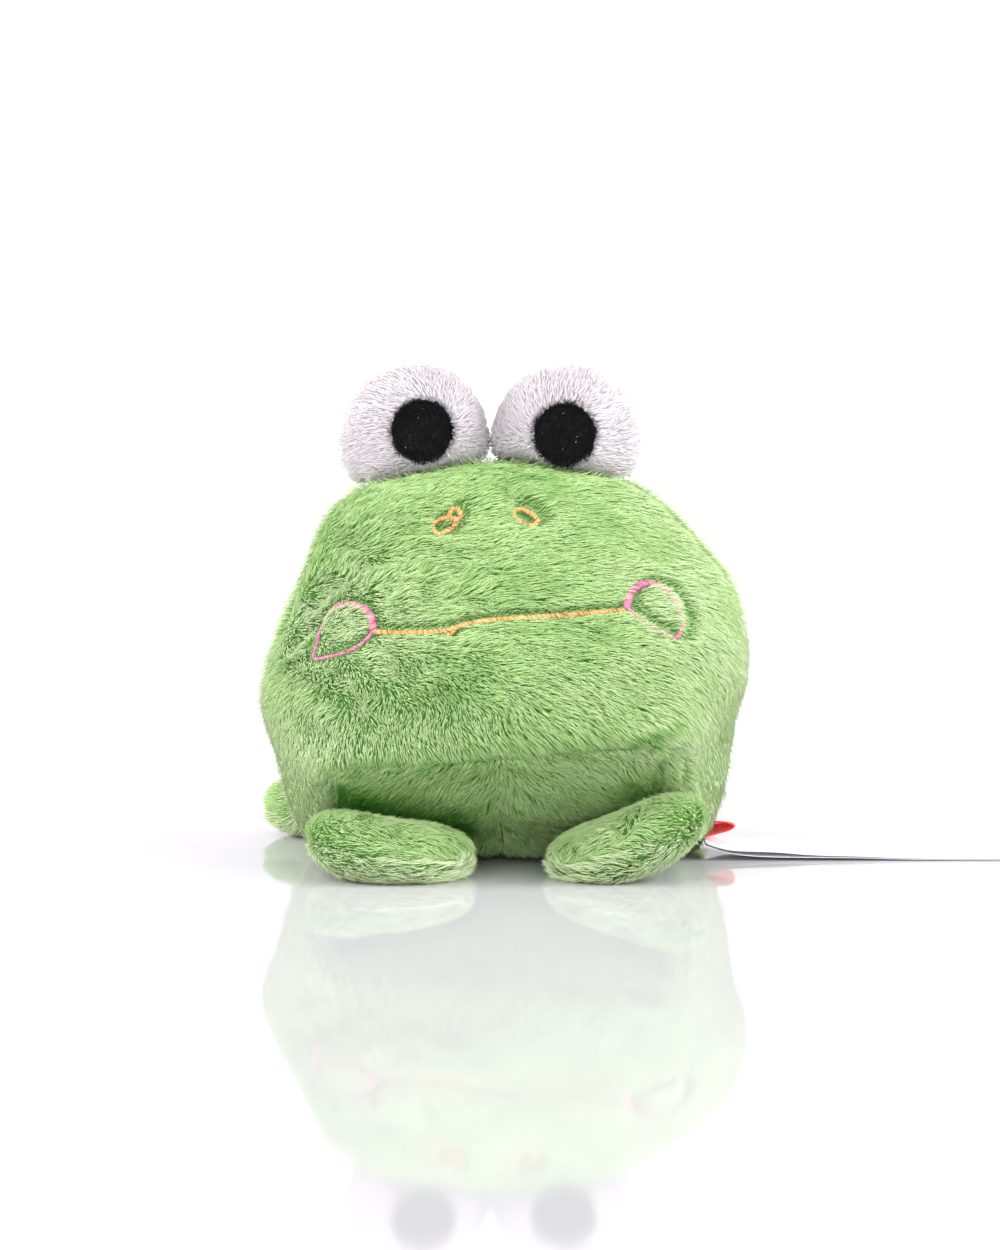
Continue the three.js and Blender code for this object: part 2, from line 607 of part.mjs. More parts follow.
// A foot is a pad thinned towards its heel, pressed flat by the floor and trimmed where it meets the body.
const FRONT_HEEL_SHARE = 0.6;
const HIND_HEEL_SHARE = 0.8;
function addFoot({ name, length, depth, height, x, y, heelShare, spin, tilt, hinge, axis, way }) {
  const turn = new THREE.Euler(0, tilt * degrees, spin * degrees, 'ZYX');
  const size = { halfLength: length / 2, halfDepth: depth / 2, halfHeight: height / 2 };
  const shape = (point) => {
    const place = point.clone();
    place.z *= mix(1, heelShare, clamp(point.y / depth + 1 / 2, 0, 1));
    return place.applyEuler(turn);
  };
  const lowest = Math.min(...makePad(size, shape).points.map((point) => point.z));
  const group = new THREE.Group();
  group.position.set(x, y, -lowest - FOOT_PRESS);
  const pressed = (point) => {
    const place = shape(point);
    place.z = Math.max(place.z, -group.position.z);
    return place;
  };
  const pad = makePad(size, pressed);
  const body = bodyAsSeenFrom(group, hinge, axis, way);
  const cover = (half) => cutBy(pad.panel((cell) => cell.panel === half), body);
  addPiece(group, name + '_foot_upper_cover', cover('upper'), greenPlush);
  addPiece(group, name + '_foot_sole_cover', cover('lower'), paleGreenPlush);
  addPiece(group, name + '_foot_filling', cutBy(pad.solidAt(CLOTH + CLEARANCE), body), filling);
  frog.add(group);
}

// A front foot turns about its sewn heel, under the chin.
const FRONT_HINGE_SHARE = 0.95; // of the way from the foot's centre to its heel
function addFrontFoot(side, x, tilt) {
  const heel = -FRONT_FOOT_LEAD + FRONT_HINGE_SHARE * FRONT_FOOT_DEPTH / 2;
  addFoot({
    name: side + '_front', length: FRONT_FOOT_LENGTH, depth: FRONT_FOOT_DEPTH, height: FRONT_FOOT_HEIGHT,
    x, y: -FRONT_FOOT_LEAD, heelShare: FRONT_HEEL_SHARE, spin: 0, tilt,
    hinge: new THREE.Vector3(x, heel, FRONT_HINGE_HEIGHT), axis: new THREE.Vector3(-1, 0, 0),
    way: [-FRONT_FOOT_DROP, -FRONT_FOOT_DROP / 2, 0, FRONT_FOOT_LIFT],
  });
}

// A hind foot turns about the edge by which it is sewn to the lower back.
const HIND_HINGE_SHARE = 0.9;
function addHindFoot(side, x, spin) {
  const centre = new THREE.Vector3(x, HIND_FOOT_SETBACK, HIND_HINGE_HEIGHT);
  const out = centre.clone().sub(new THREE.Vector3(0, CREST_SETBACK, HIND_HINGE_HEIGHT)).normalize();
  addFoot({
    name: side + '_hind', length: HIND_FOOT_LENGTH, depth: HIND_FOOT_DEPTH, height: HIND_FOOT_HEIGHT,
    x, y: HIND_FOOT_SETBACK, heelShare: HIND_HEEL_SHARE, spin: spin + 180, tilt: 0,
    hinge: centre.clone().addScaledVector(out, -HIND_HINGE_SHARE * HIND_FOOT_DEPTH / 2),
    axis: out.clone().cross(UP), way: [-HIND_FOOT_DROP, -HIND_FOOT_DROP / 2, 0, HIND_FOOT_LIFT],
  });
}

// A ribbon that follows a line seen from the front, as deep as it is wide.
function ribbon(line, thickness, width, setback, steps) {
  const path = new THREE.SplineCurve(line);
  const sides = [1, -1].map((side) => Array.from({ length: steps + 1 }, (_, i) => {
    const along = path.getTangentAt(i / steps);
    const out = new THREE.Vector2(-along.y, along.x).multiplyScalar(side * thickness / 2);
    return path.getPointAt(i / steps).add(out);
  }));
  const outline = new THREE.Shape([...sides[1], ...sides[0].reverse()]);
  const geometry = new THREE.ExtrudeGeometry(outline, { depth: width, bevelEnabled: false });
  return geometry.rotateX(Math.PI / 2).translate(0, setback + width / 2, 0);
}

// The tag is a ribbon folded back on itself; the labels leave the seam below it and sink to the floor.
const TAG_STEPS = 12;
const LABEL_STEPS = 14;
const tagLoopShares = [
  [0, 0.45], [0.3, 0.9], [0.62, 1], [0.9, 0.66], [1, 0], [0.9, -0.66], [0.62, -1], [0.3, -0.9], [0, -0.45],
];
const lowerLabelShares = [
  [0, 1], [0.05, 0.72], [0.1, 0.54], [0.2, 0.45], [0.3, 0.41], [0.42, 0.25], [0.6, 0.1],
  [0.8, 0.08], [1, 0.08],
];
const labelRiseShares = lineThrough([[0, 1], [0.1, 1.5], [0.2, 1.5], [0.42, 1], [1, 1]]);
function addTagAndLabels() {
  const group = new THREE.Group();
  const seam = halfWidthAt(LABEL_HEIGHT, true) - SEAM_DIP;
  const tagLine = tagLoopShares.map(([out, up]) => new THREE.Vector2(
    seam + TAG_LENGTH * out, TAG_HEIGHT + TAG_LOOP_HEIGHT / 2 * up));
  const tag = ribbon(tagLine, TAG_THICKNESS, TAG_WIDTH, TAG_SETBACK, TAG_STEPS);
  addPiece(group, 'loop_tag', cutBy(tag, [solidOf(grownBody)]), redRibbon);
  const pivot = new THREE.Vector3(seam, LABEL_SETBACK, LABEL_HEIGHT);
  const body = bodyAsSeenFrom(group, pivot, new THREE.Vector3(0, -1, 0), [-LABEL_DROP, -LABEL_DROP / 2, 0]);
  const labelLine = (isUpper) => lowerLabelShares.map(([out, up]) => new THREE.Vector2(
    seam + LABEL_LENGTH * out, LABEL_HEIGHT * up + isUpper * LABEL_RISE * labelRiseShares(out)));
  for (const [name, isUpper] of [['upper', 1], ['lower', 0]]) {
    const label = ribbon(labelLine(isUpper), LABEL_THICKNESS, LABEL_WIDTH, LABEL_SETBACK, LABEL_STEPS);
    addPiece(group, 'care_label_' + name, cutBy(label, body), whiteSatin);
  }
  frog.add(group);
}

addBody();
addEmbroidery();
addEye('left', -LEFT_EYE_OFFSET, 1);
addEye('right', RIGHT_EYE_OFFSET, -1);
addFrontFoot('left', -LEFT_FRONT_OFFSET, LEFT_FRONT_TILT);
addFrontFoot('right', RIGHT_FRONT_OFFSET, -RIGHT_FRONT_TILT);
addHindFoot('left', -LEFT_HIND_OFFSET, -LEFT_HIND_SPIN);
addHindFoot('right', RIGHT_HIND_OFFSET, RIGHT_HIND_SPIN);
addTagAndLabels();

export default frog;
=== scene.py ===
# %% [markdown]
# # A small plush frog, from its skin to its last thread
# The frog is sewn from panels of short plush round a soft filling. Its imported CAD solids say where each
# panel, foot, eye, thread and label is, and this script gives them their looks: cloth skins that are
# stuffed by simulation, a pile of real strands, satin stitches and ribbons. Every length here is in
# metres, and MM keeps the millimetres that a plush maker thinks in.

import math

import bpy
import numpy as np
from mathutils import Matrix, Vector
from mathutils.bvhtree import BVHTree
from mathutils.kdtree import KDTree


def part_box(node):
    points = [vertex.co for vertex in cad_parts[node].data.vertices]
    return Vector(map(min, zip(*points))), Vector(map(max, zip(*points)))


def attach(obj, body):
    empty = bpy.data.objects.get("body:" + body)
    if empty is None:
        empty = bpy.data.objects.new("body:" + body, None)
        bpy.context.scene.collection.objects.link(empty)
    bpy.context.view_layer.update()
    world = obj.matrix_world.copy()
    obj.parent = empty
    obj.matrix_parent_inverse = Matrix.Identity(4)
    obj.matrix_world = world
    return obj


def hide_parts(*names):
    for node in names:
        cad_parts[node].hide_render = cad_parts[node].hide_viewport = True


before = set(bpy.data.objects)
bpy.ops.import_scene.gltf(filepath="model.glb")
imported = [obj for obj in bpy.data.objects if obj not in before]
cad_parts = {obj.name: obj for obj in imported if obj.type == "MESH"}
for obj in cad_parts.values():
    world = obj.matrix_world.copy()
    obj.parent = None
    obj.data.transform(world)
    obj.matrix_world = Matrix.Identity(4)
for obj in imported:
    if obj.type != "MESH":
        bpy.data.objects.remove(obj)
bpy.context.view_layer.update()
MM = 0.001

# %% [markdown]
# ## The camera comes first
# It stands in front of the frog, a little above its eyes, and looks slightly down. A long lens keeps the
# chin from swelling. The embroidery is placed by sight from here, so the camera is made before it. The
# alternative, guessing each thread's place on the curved face, would take many tries.

# %% Camera
FRAME_WIDTH, FRAME_HEIGHT = 1000, 1250
FOCAL_PIXELS = 4030
CAMERA_PLACE = Vector((0, -648 * MM, 88.3 * MM))
CAMERA_PITCH = math.radians(90 - 4.466)

camera_data = bpy.data.cameras.new("camera")
camera_data.sensor_width = 36
camera_data.lens = camera_data.sensor_width * FOCAL_PIXELS / FRAME_HEIGHT
camera = bpy.data.objects.new("camera", camera_data)
bpy.context.collection.objects.link(camera)
camera.location = CAMERA_PLACE
camera.rotation_euler = (CAMERA_PITCH, 0, 0)
bpy.context.scene.camera = camera
print("lens in mm:", round(camera_data.lens, 2))


def sight_line(across, down):
    """The direction from the camera through a point of the frame, in pixels from its top left corner."""
    ray = Vector(((across - FRAME_WIDTH / 2) / FOCAL_PIXELS, (FRAME_HEIGHT / 2 - down) / FOCAL_PIXELS, -1))
    return (Matrix.Rotation(CAMERA_PITCH, 3, "X") @ ray).normalized()


# %% [markdown]
# ## Small tools for the bench
# Operators act on whatever is selected, so each step starts by selecting exactly what it works on. The
# rest reads a mesh into arrays and back, because moving thousands of points is quicker all at once.

# %% Selecting, applying and reading meshes
def select_only(*objects):
    bpy.ops.object.select_all(action="DESELECT")
    for obj in objects:
        obj.select_set(True)
    bpy.context.view_layer.objects.active = objects[-1]


def in_edit_mode(obj, *operators):
    """Runs operators on the whole mesh of one object in edit mode."""
    select_only(obj)
    bpy.ops.object.mode_set(mode="EDIT")
    bpy.ops.mesh.select_all(action="SELECT")
    for operator, settings in operators:
        operator(**settings)
    bpy.ops.object.mode_set(mode="OBJECT")


def modified(obj, kind, **settings):
    """Adds a modifier with its settings and applies it."""
    select_only(obj)
    modifier = obj.modifiers.new(kind.title(), kind)
    for name, value in settings.items():
        setattr(modifier, name, value)
    bpy.ops.object.modifier_apply(modifier=modifier.name)
    return obj


def new_object(name, data):
    made = bpy.data.objects.new(name, data)
    bpy.context.collection.objects.link(made)
    return made


def joined(name, pieces):
    """One object from one or more."""
    select_only(*pieces)
    if len(pieces) > 1:
        bpy.ops.object.join()
    made = bpy.context.view_layer.objects.active
    made.name = name
    return made


def dress(obj, material, body, node=None):
    """Makes a mesh a smooth piece of the frog, with the CAD node that it replaces."""
    obj.data.materials.append(material)
    obj.data.polygons.foreach_set("use_smooth", np.ones(len(obj.data.polygons), bool))
    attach(obj, body)
    if node:
        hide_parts(node)


def numbers_of(items, name, width=1, kind=np.int32):
    """A property of all the points, edges or faces of a mesh, with so many numbers for each."""
    values = np.empty(width * len(items), kind)
    items.foreach_get(name, values)
    return values.reshape(-1, width)


def points_of(obj):
    return numbers_of(obj.data.vertices, "co", 3, np.float32).astype(float)


def normals_of(obj):
    return numbers_of(obj.data.vertex_normals, "vector", 3, np.float32).astype(float)


def set_points(obj, points):
    obj.data.vertices.foreach_set("co", points.astype(np.float32).ravel())
    obj.data.update()


def sink(obj, points, depths):
    """Sets a mesh's points, each sunk into the mesh by its own depth."""
    set_points(obj, points - normals_of(obj) * depths[:, None])


def unit(vectors):
    return vectors / np.maximum(np.linalg.norm(vectors, axis=-1, keepdims=True), 1e-12)


def mix(low, high, share):
    return low + (high - low) * share


def step(value, low, high):
    """0 below low and 1 above high, with a smooth way between."""
    share = np.clip((value - low) / (high - low), 0, 1)
    return share * share * (3 - 2 * share)


def bell(value, width):
    """1 at zero, falling off smoothly over about this width."""
    return np.exp(-((value / width) ** 2))


# %% [markdown]
# ## Materials as sums
# A shader is a small calculation over the surface. This class wraps one output of a node, so that
# 1 - mask or tone * 0.5 adds the right Math node, and `node` adds any other kind. Writing shaders this
# way keeps each one to a few lines that read like its recipe.

# %% A socket that does maths
def through(operation, turned=False):
    """A method that puts a wire and another wire or number through a Math node."""
    def method(self, other):
        first, second = (other, self) if turned else (self, other)
        return self.node("Math", {"operation": operation}, {0: first, 1: second})
    return method


class Wire:
    def __init__(self, tree, output=None):
        self.tree = tree
        self.output = output

    __add__, __radd__ = through("ADD"), through("ADD", turned=True)
    __sub__, __rsub__ = through("SUBTRACT"), through("SUBTRACT", turned=True)
    __mul__, __rmul__ = through("MULTIPLY"), through("MULTIPLY", turned=True)
    __pow__ = through("POWER")

    def node(self, kind, settings=None, inputs=None, output=0):
        """A new node: its settings are made first, then its inputs by name or number get values or wires."""
        made = self.tree.nodes.new("ShaderNode" + kind)
        for name, value in (settings or {}).items():
            setattr(made, name, value)
        for key, value in (inputs or {}).items():
            named = [s for s in made.inputs if s.enabled and s.name == key]
            socket = named[0] if named else made.inputs[key]
            if isinstance(value, Wire):
                self.tree.links.new(value.output, socket)
            else:
                socket.default_value = value
        enabled = [s for s in made.outputs if s.enabled]
        return Wire(self.tree, made.outputs[output] if isinstance(output, str) else enabled[output])

    def attribute(self, name):
        return self.node("Attribute", {"attribute_name": name}, output="Fac")

    def blend_colors(self, factor, first, second):
        """First where the factor is 0, second where it is 1."""
        return self.node("Mix", {"data_type": "RGBA"}, {"Factor": factor, "A": first, "B": second})

    def noise(self, scale, detail=3, stretch=None):
        """Soft grain at so many lumps a metre, read from the piece's own place."""
        place = self.node("TexCoord", output="Object")
        if stretch:
            place = self.node("Mapping", {}, {"Vector": place, "Scale": stretch})
        return self.node("TexNoise", {}, {"Vector": place, "Scale": scale, "Detail": detail}, output="Fac")

    def bump(self, strength, depth, height):
        return self.node("Bump", {}, {"Strength": strength, "Distance": depth, "Height": height})

    def height_of(self, space, axis):
        """One coordinate of the place that is being coloured."""
        return self.node("SeparateXYZ", {}, {0: self.node("TexCoord", output=space)}, output=axis)


def color(red, green, blue):
    """A colour on the 0 to 255 scale, as the shader wants it."""
    shares = (red / 255, green / 255, blue / 255)
    return (*(c / 12.92 if c <= 10 / 255 else ((c + 0.055) / 1.055) ** 2.4 for c in shares), 1)


def new_material(name):
    """A material with its wire to start from, and the main shader's input sockets."""
    material = bpy.data.materials.new(name)
    material.use_nodes = True
    shader = material.node_tree.nodes["Principled BSDF"]
    return material, Wire(material.node_tree), shader.inputs


def plug(sockets, **values):
    """Plugs wires and sets constants. Underscores stand for the spaces of a socket's name."""
    for name, value in values.items():
        socket = sockets[name.replace("_", " ")]
        if isinstance(value, Wire):
            value.tree.links.new(value.output, socket)
        else:
            socket.default_value = value


def blend_shaders(material, wire, kind, share, values):
    """Mixes a share of another kind of shader into a material's main one."""
    links, nodes = material.node_tree.links, material.node_tree.nodes
    other = wire.node(kind, {}, values)
    blended = wire.node("MixShader", {}, {"Fac": share, 2: other})
    links.new(nodes["Principled BSDF"].outputs["BSDF"], blended.output.node.inputs[1])
    links.new(blended.output, nodes["Material Output"].inputs["Surface"])


# %% [markdown]
# ## Pile and backing
# Plush is cut pile on a knitted ground. Each strand carries two numbers on its mesh: its tone, which says
# how light the strand is among its neighbours and also carries painted light and shade, and how far along
# the strand a point lies. The pile shader is darker at the root than at the tip: painted shade, for the
# light that can't reach down into the pile. The ground below it is a knit in the same dye, seen only in
# the partings, and the green one is coloured darker than its pile: painted shade in the partings and seams.

# %% Plush materials
def pile_material(name, shade, root, middle, bright):
    """Tones below a half run from the shade to the middle dye, and those above it to the bright one."""
    material, wire, shader = new_material(name)
    tone = wire.attribute("tone")
    along = wire.attribute("along") ** 0.8
    dyed = wire.blend_colors(2 * tone, shade, middle)
    tip = wire.blend_colors(2 * tone - 1, dyed, bright)
    # Painted shade: the root end of each strand is darker than its tip.
    low = wire.blend_colors(2 * tone, shade, root)
    plug(shader, Base_Color=wire.blend_colors(along, low, tip), Roughness=0.8, Specular_IOR_Level=0.15)
    return material


def ground_material(name, low, high):
    material, wire, shader = new_material(name)
    grain = wire.noise(900)
    bump = wire.bump(0.6, 0.3 * MM, wire.noise(2600, detail=1))
    plug(shader, Base_Color=wire.blend_colors(grain, low, high), Roughness=0.85 + 0.1 * grain, Normal=bump)
    plug(shader, Sheen_Weight=0.2, Specular_IOR_Level=0.2)
    return material


PILES = {
    "green_plush": pile_material("green plush pile", color(96, 160, 62), color(174, 220, 134),
                                 color(196, 223, 158), color(231, 241, 204)),
    "white_plush": pile_material("white plush pile", color(218, 209, 216), color(238, 232, 236),
                                 color(235, 228, 232), color(242, 236, 240)),
}
# The green ground is coloured darker than its pile: painted shade in the partings and seams.
GROUNDS = {
    "green_plush": ground_material("green knitted ground", color(90, 146, 64), color(112, 168, 82)),
    "white_plush": ground_material("white knitted ground", color(230, 224, 229), color(240, 235, 239)),
}

# %% [markdown]
# ## Thread, ribbon, satin and filling
# Embroidery thread is a bright twisted filament: each stitch is lighter on its crown, a painted highlight,
# and a fine grain gives its twist. Ribbon and satin are woven, so two crossed sets of fine waves make their
# weave. The red ribbon also glows a little: painted light, for the light that shines through it.

# %% Thread and cloth materials
def thread_material(name, low, high, roughness, contrast=1):
    material, wire, shader = new_material(name)
    along = wire.attribute("along")
    # Painted highlight: each stitch is lighter on its crown.
    crown = 4 * along * (1 - along)
    light = (wire.attribute("tone") * (0.55 + 0.45 * crown)) ** contrast
    grain = wire.noise(4200, detail=2)
    plug(shader, Base_Color=wire.blend_colors(light, low, high), Roughness=roughness + 0.12 * grain)
    plug(shader, Normal=wire.bump(0.35, 0.06 * MM, grain), Specular_IOR_Level=0.3)
    return material


def woven_material(name, low, high, roughness, threads, glow=0):
    """Cloth of so many threads a metre, on a piece that lies about level. Glow is painted light let through.
    """
    material, wire, shader = new_material(name)
    place = wire.node("TexCoord", output="Object")
    values = {"Vector": place, "Scale": threads / 20, "Distortion": 0.4, "Detail": 1}
    waves = [wire.node("TexWave", {"wave_type": "BANDS", "bands_direction": way}, values, output="Fac")
             for way in ("X", "Y")]
    weave = waves[0] * waves[1]
    grain = wire.noise(300)
    plug(shader, Base_Color=wire.blend_colors(0.6 * weave + 0.4 * grain, low, high))
    plug(shader, Normal=wire.bump(0.25, 0.05 * MM, weave), Roughness=roughness + 0.15 * grain)
    plug(shader, Sheen_Weight=0.3, Emission_Color=high, Emission_Strength=glow)
    return material


def filling_material():
    material, wire, shader = new_material("polyester filling")
    clumps = wire.noise(260, detail=4)
    fibres = wire.noise(1500, detail=2, stretch=(1, 1, 5))
    bump = wire.bump(0.8, 0.5 * MM, clumps + 0.5 * fibres)
    tint = wire.blend_colors(clumps, color(226, 222, 214), color(248, 246, 241))
    plug(shader, Base_Color=tint, Roughness=0.9 + 0.1 * fibres, Normal=bump, Sheen_Weight=0.3)
    return material


# Each thread runs from painted shade in its dark colour to painted highlights in its light one.
gold_thread = thread_material("gold thread", color(164, 104, 42), color(244, 210, 142), 0.35)
pink_thread = thread_material("pink thread", color(182, 66, 120), color(244, 176, 206), 0.35)
# The black thread's light colour shows only on strands of full tone: painted glints on the pupils.
black_thread = thread_material("black thread", color(2, 2, 3), color(228, 228, 236), 0.85, contrast=2.6)
# The red ribbon's glow is painted light, an emission for the light that shines through it.
red_ribbon = woven_material("red ribbon", color(198, 14, 22), color(240, 56, 48), 0.4, 5000, glow=0.18)
white_satin = woven_material("white satin", color(240, 237, 246), color(252, 250, 255), 0.3, 7000)
stuffing = filling_material()
print("materials:", len(bpy.data.materials))

# %% [markdown]
# ## Skins
# A stuffed toy's cover is one closed skin, drawn in at its seams. A skin starts from copies of the CAD
# solids, which are faceted: a voxel remesh melts them into one even net, and smoothing takes the facets
# away. The pile leans, so it stands about 2 mm high. The knitted ground therefore lies a little over 1 mm
# below the CAD surface, and the tips of the pile rise a little above it.

# %% Making a skin from CAD solids
FILLING_DEPTH = 2.3 * MM
GROUND_DEPTH = 1.1 * MM


def solid_copy(name, *nodes):
    """A new object that holds the solids of CAD nodes, with their loose triangles merged."""
    solid = joined(name, [new_object(name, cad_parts[node].data.copy()) for node in nodes])
    solid.data.materials.clear()
    in_edit_mode(solid, (bpy.ops.mesh.remove_doubles, {"threshold": 0.001 * MM}))
    return solid


def netted(obj, voxel, smoothing):
    """An even net of squares over a solid. Only its largest loose part is kept, which is its outside."""
    name = obj.name
    modified(obj, "REMESH", mode="VOXEL", voxel_size=voxel)
    in_edit_mode(obj, (bpy.ops.mesh.separate, {"type": "LOOSE"}))
    *inner, outside = sorted(bpy.context.selected_objects, key=lambda part: len(part.data.polygons))
    for part in inner:
        bpy.data.objects.remove(part)
    outside.name = name
    return modified(outside, "SMOOTH", factor=0.5, iterations=smoothing)


# %% [markdown]
# ## Which panel, and where its seams are
# The panels meet at seams. Each square of the net belongs to the CAD panel that lies nearest over it, and
# an edge between two panels is a seam. Zigzag seams would show, so the seam points are slid into a smooth
# line, and then the cloth is drawn in along it.

# %% Panels and seams of a skin
SEAM_WIDTH = 1.1 * MM
SEAM_ROUNDS = 12                # of sliding the seam points


def surface_tree(obj):
    points = [v.co.copy() for v in obj.data.vertices]
    return BVHTree.FromPolygons(points, [list(p.vertices) for p in obj.data.polygons])


def panels_over(skin, nodes):
    """For each face of a skin, the number of the CAD node that lies over it."""
    trees = []
    for node in nodes:
        solid = solid_copy("panel", node)
        trees.append(surface_tree(solid))
        bpy.data.objects.remove(solid)
    found = []
    for face in skin.data.polygons:
        place = face.center + face.normal * GROUND_DEPTH
        found.append(min(range(len(trees)), key=lambda i: trees[i].find_nearest(place)[3]))
    return np.array(found, np.int32)


def seam_edges(skin, panels):
    """The edges of a closed skin that have different panels on their two sides, as pairs of points."""
    mesh = skin.data
    panel_of_loop = np.repeat(panels, numbers_of(mesh.polygons, "loop_total")[:, 0])
    order = np.argsort(numbers_of(mesh.loops, "edge_index")[:, 0], kind="stable")
    sides = panel_of_loop[order].reshape(-1, 2)
    return numbers_of(mesh.edges, "vertices", 2)[sides[:, 0] != sides[:, 1]]


def nearest(points, marks):
    """For each point, the number of the nearest mark and how far away it is."""
    tree = KDTree(len(marks))
    for i, mark in enumerate(marks):
        tree.insert(mark, i)
    tree.balance()
    found = [tree.find(point)[1:] for point in points]
    return np.array([number for number, _ in found]), np.array([away for _, away in found])


def distance_to(points, marks):
    return nearest(points, marks)[1]


def rim_of(skin, panels, numbers):
    """The numbers of the points where some panels meet the others."""
    return np.unique(seam_edges(skin, np.isin(panels, numbers).astype(np.int32)))


def draw_seams(skin, panels, depth, deep=(), deeper=0.0):
    """Slides the seam points into smooth lines and draws the cloth in along them, most round deep panels."""
    seams = seam_edges(skin, panels)
    points = points_of(skin)
    inner = np.bincount(seams.ravel(), minlength=len(points)) == 2
    for _ in range(SEAM_ROUNDS):
        total = np.zeros_like(points)
        np.add.at(total, seams[:, 0], points[seams[:, 1]])
        np.add.at(total, seams[:, 1], points[seams[:, 0]])
        points[inner] = (points[inner] + total[inner] / 2) / 2
    set_points(skin, points)
    marks = points[np.unique(seams)]
    dips = depth * bell(distance_to(points, marks), SEAM_WIDTH)
    if len(deep):
        dips += deeper * bell(distance_to(points, points[rim_of(skin, panels, deep)]), SEAM_WIDTH)
    sink(skin, points, dips)
    return marks


# %% [markdown]
# ## Lines seen in the frame
# Creases and embroidery are given by a few marks in the frame. Each line is drawn smoothly through its
# marks and dropped along the sight lines onto a skin. A crease then draws the skin in along its line.

# %% Dropping a line onto a skin
def spline(marks, steps, closed=False):
    """A smooth line through marks, with so many points from each mark to the next."""
    marks = np.array(marks, float)
    around = np.vstack([marks[-1], marks, marks[:2]] if closed else [
        2 * marks[0] - marks[1], marks, 2 * marks[-1] - marks[-2]])
    fine = []
    for a, b, c, d in zip(around, around[1:], around[2:], around[3:]):
        for t in np.linspace(0, 1, steps, endpoint=False):
            fine.append((2 * b + (c - a) * t + (2 * a - 5 * b + 4 * c - d) * t * t
                         + (3 * b - a - 3 * c + d) * t ** 3) / 2)
    return fine


def run_of(line):
    """How far along a line each of its points lies."""
    return np.concatenate([[0], np.cumsum(np.linalg.norm(np.diff(line, axis=0), axis=1))])


def read_at(stops, run, values):
    """The values of a line's points, read at other places along it."""
    return np.stack([np.interp(stops, run, column) for column in values.T], axis=1)


def smooth_route(marks, spacing, tree, closed=False):
    """A smooth line through marks in the frame, laid on a surface: places, and the ways out of it there."""
    hits = [tree.ray_cast(CAMERA_PLACE, sight_line(*mark)) for mark in spline(marks, 24, closed)]
    places = np.array([place for place, _, _, _ in hits])
    outward = np.array([normal for _, normal, _, _ in hits])
    run = run_of(places)
    stops = np.arange(0, run[-1], spacing)
    return read_at(stops, run, places), unit(read_at(stops, run, outward))


MARK_SPACING = 0.5 * MM


def crease(skin, marks, depth, width):
    """Draws a skin in along a line seen in the frame, as a fold of the cloth does."""
    places, _ = smooth_route(marks, MARK_SPACING, surface_tree(skin))
    points = points_of(skin)
    sink(skin, points, depth * bell(distance_to(points, places), width))


# %% [markdown]
# ## Stuffing by simulation
# Cloth pressure pushes the skin out as filling does, while the seams hold. The solver is tuned for
# cushions about a metre wide, so the frog is enlarged before it and brought back after. No point may move
# further than a given rise, which keeps the frog its own size.

# %% Stuffing a skin
CUSHION_SCALE = 12
STUFFING_FRAMES = 20


def stuff(skin, held, rise):
    """Fills a skin under pressure. The held points stay, and no other moves further than the rise."""
    start = points_of(skin)
    set_points(skin, start * CUSHION_SCALE)
    group = skin.vertex_groups.new(name="held")
    group.add([int(i) for i in held], 1, "REPLACE")
    cloth = skin.modifiers.new("Cloth", "CLOTH")
    cloth.settings.quality = 4
    cloth.settings.mass = 0.3
    cloth.settings.use_pressure = True
    cloth.settings.uniform_pressure_force = 4
    cloth.settings.vertex_group_mass = "held"
    cloth.settings.effector_weights.gravity = 0
    cloth.point_cache.frame_start = 1
    cloth.point_cache.frame_end = STUFFING_FRAMES
    for moment in range(1, STUFFING_FRAMES + 1):
        bpy.context.scene.frame_set(moment)
    select_only(skin)
    bpy.ops.object.modifier_apply(modifier=cloth.name)
    skin.vertex_groups.clear()
    move = points_of(skin) / CUSHION_SCALE - start
    reach = np.linalg.norm(move, axis=1, keepdims=True)
    set_points(skin, start + move * np.minimum(1, rise / np.maximum(reach, 1e-12)))
    bpy.context.scene.frame_set(1)
    print(skin.name, "moved in mm, mean and most:", (reach.mean() / MM).round(2), (reach.max() / MM).round(2))


# %% [markdown]
# ## The body's skin
# The filling solid is the whole body in one closed piece, so it makes the best start: its points are
# pushed out along the same lines by which the source sank them. The creases are those of the photo, and
# the panels under the chin stand back behind their rim.

# %% Body skin
BODY_PANELS = [
    "face_panel", "left_chin_panel", "right_chin_panel", "left_back_panel", "right_back_panel", "base_panel",
]
CHIN_NUMBERS = (1, 2)           # of the panels under the chin in that list
CLOTH_CENTRE = np.array((0, 3.0, 27.05)) * MM
BODY_NET = 1.5 * MM
FLOOR_SKIN = 0.9 * MM           # the lowest that a ground lies, above the floor
CHIN_RECESS, CHIN_REACH = 2.0 * MM, 10 * MM
FACE_CREASES = [                # the marks of each line, its depth and its width
    ([(338, 590), (326, 600), (314, 608), (306, 614)], 1.4 * MM, 1.8 * MM),
    ([(318, 622), (304, 638), (294, 650)], 1.4 * MM, 1.8 * MM),
    ([(500, 482), (502, 491), (503, 502)], 0.6 * MM, 1.2 * MM),
]
CHIN_CREASES = [
    ([(329, 774), (323, 786), (322, 798), (326, 812)], 1.0 * MM, 1.4 * MM),
    ([(676, 742), (681, 760), (679, 785)], 1.0 * MM, 1.4 * MM),
]
# Lines by the chin where the face's pile is a little shorter and carries painted shade.
CHIN_FOLDS = [[(324, 766), (350, 761), (385, 758), (420, 759), (452, 761)],
              [(588, 750), (610, 745), (635, 738), (657, 731), (674, 724)]]


def on_the_floor(skin):
    points = points_of(skin)
    points[:, 2] = np.maximum(points[:, 2], FLOOR_SKIN)
    set_points(skin, points)


def near_seams(skin, nodes, width):
    seams = seam_edges(skin, panels_over(skin, nodes))
    points = points_of(skin)
    return np.flatnonzero(distance_to(points, points[np.unique(seams)]) < width)


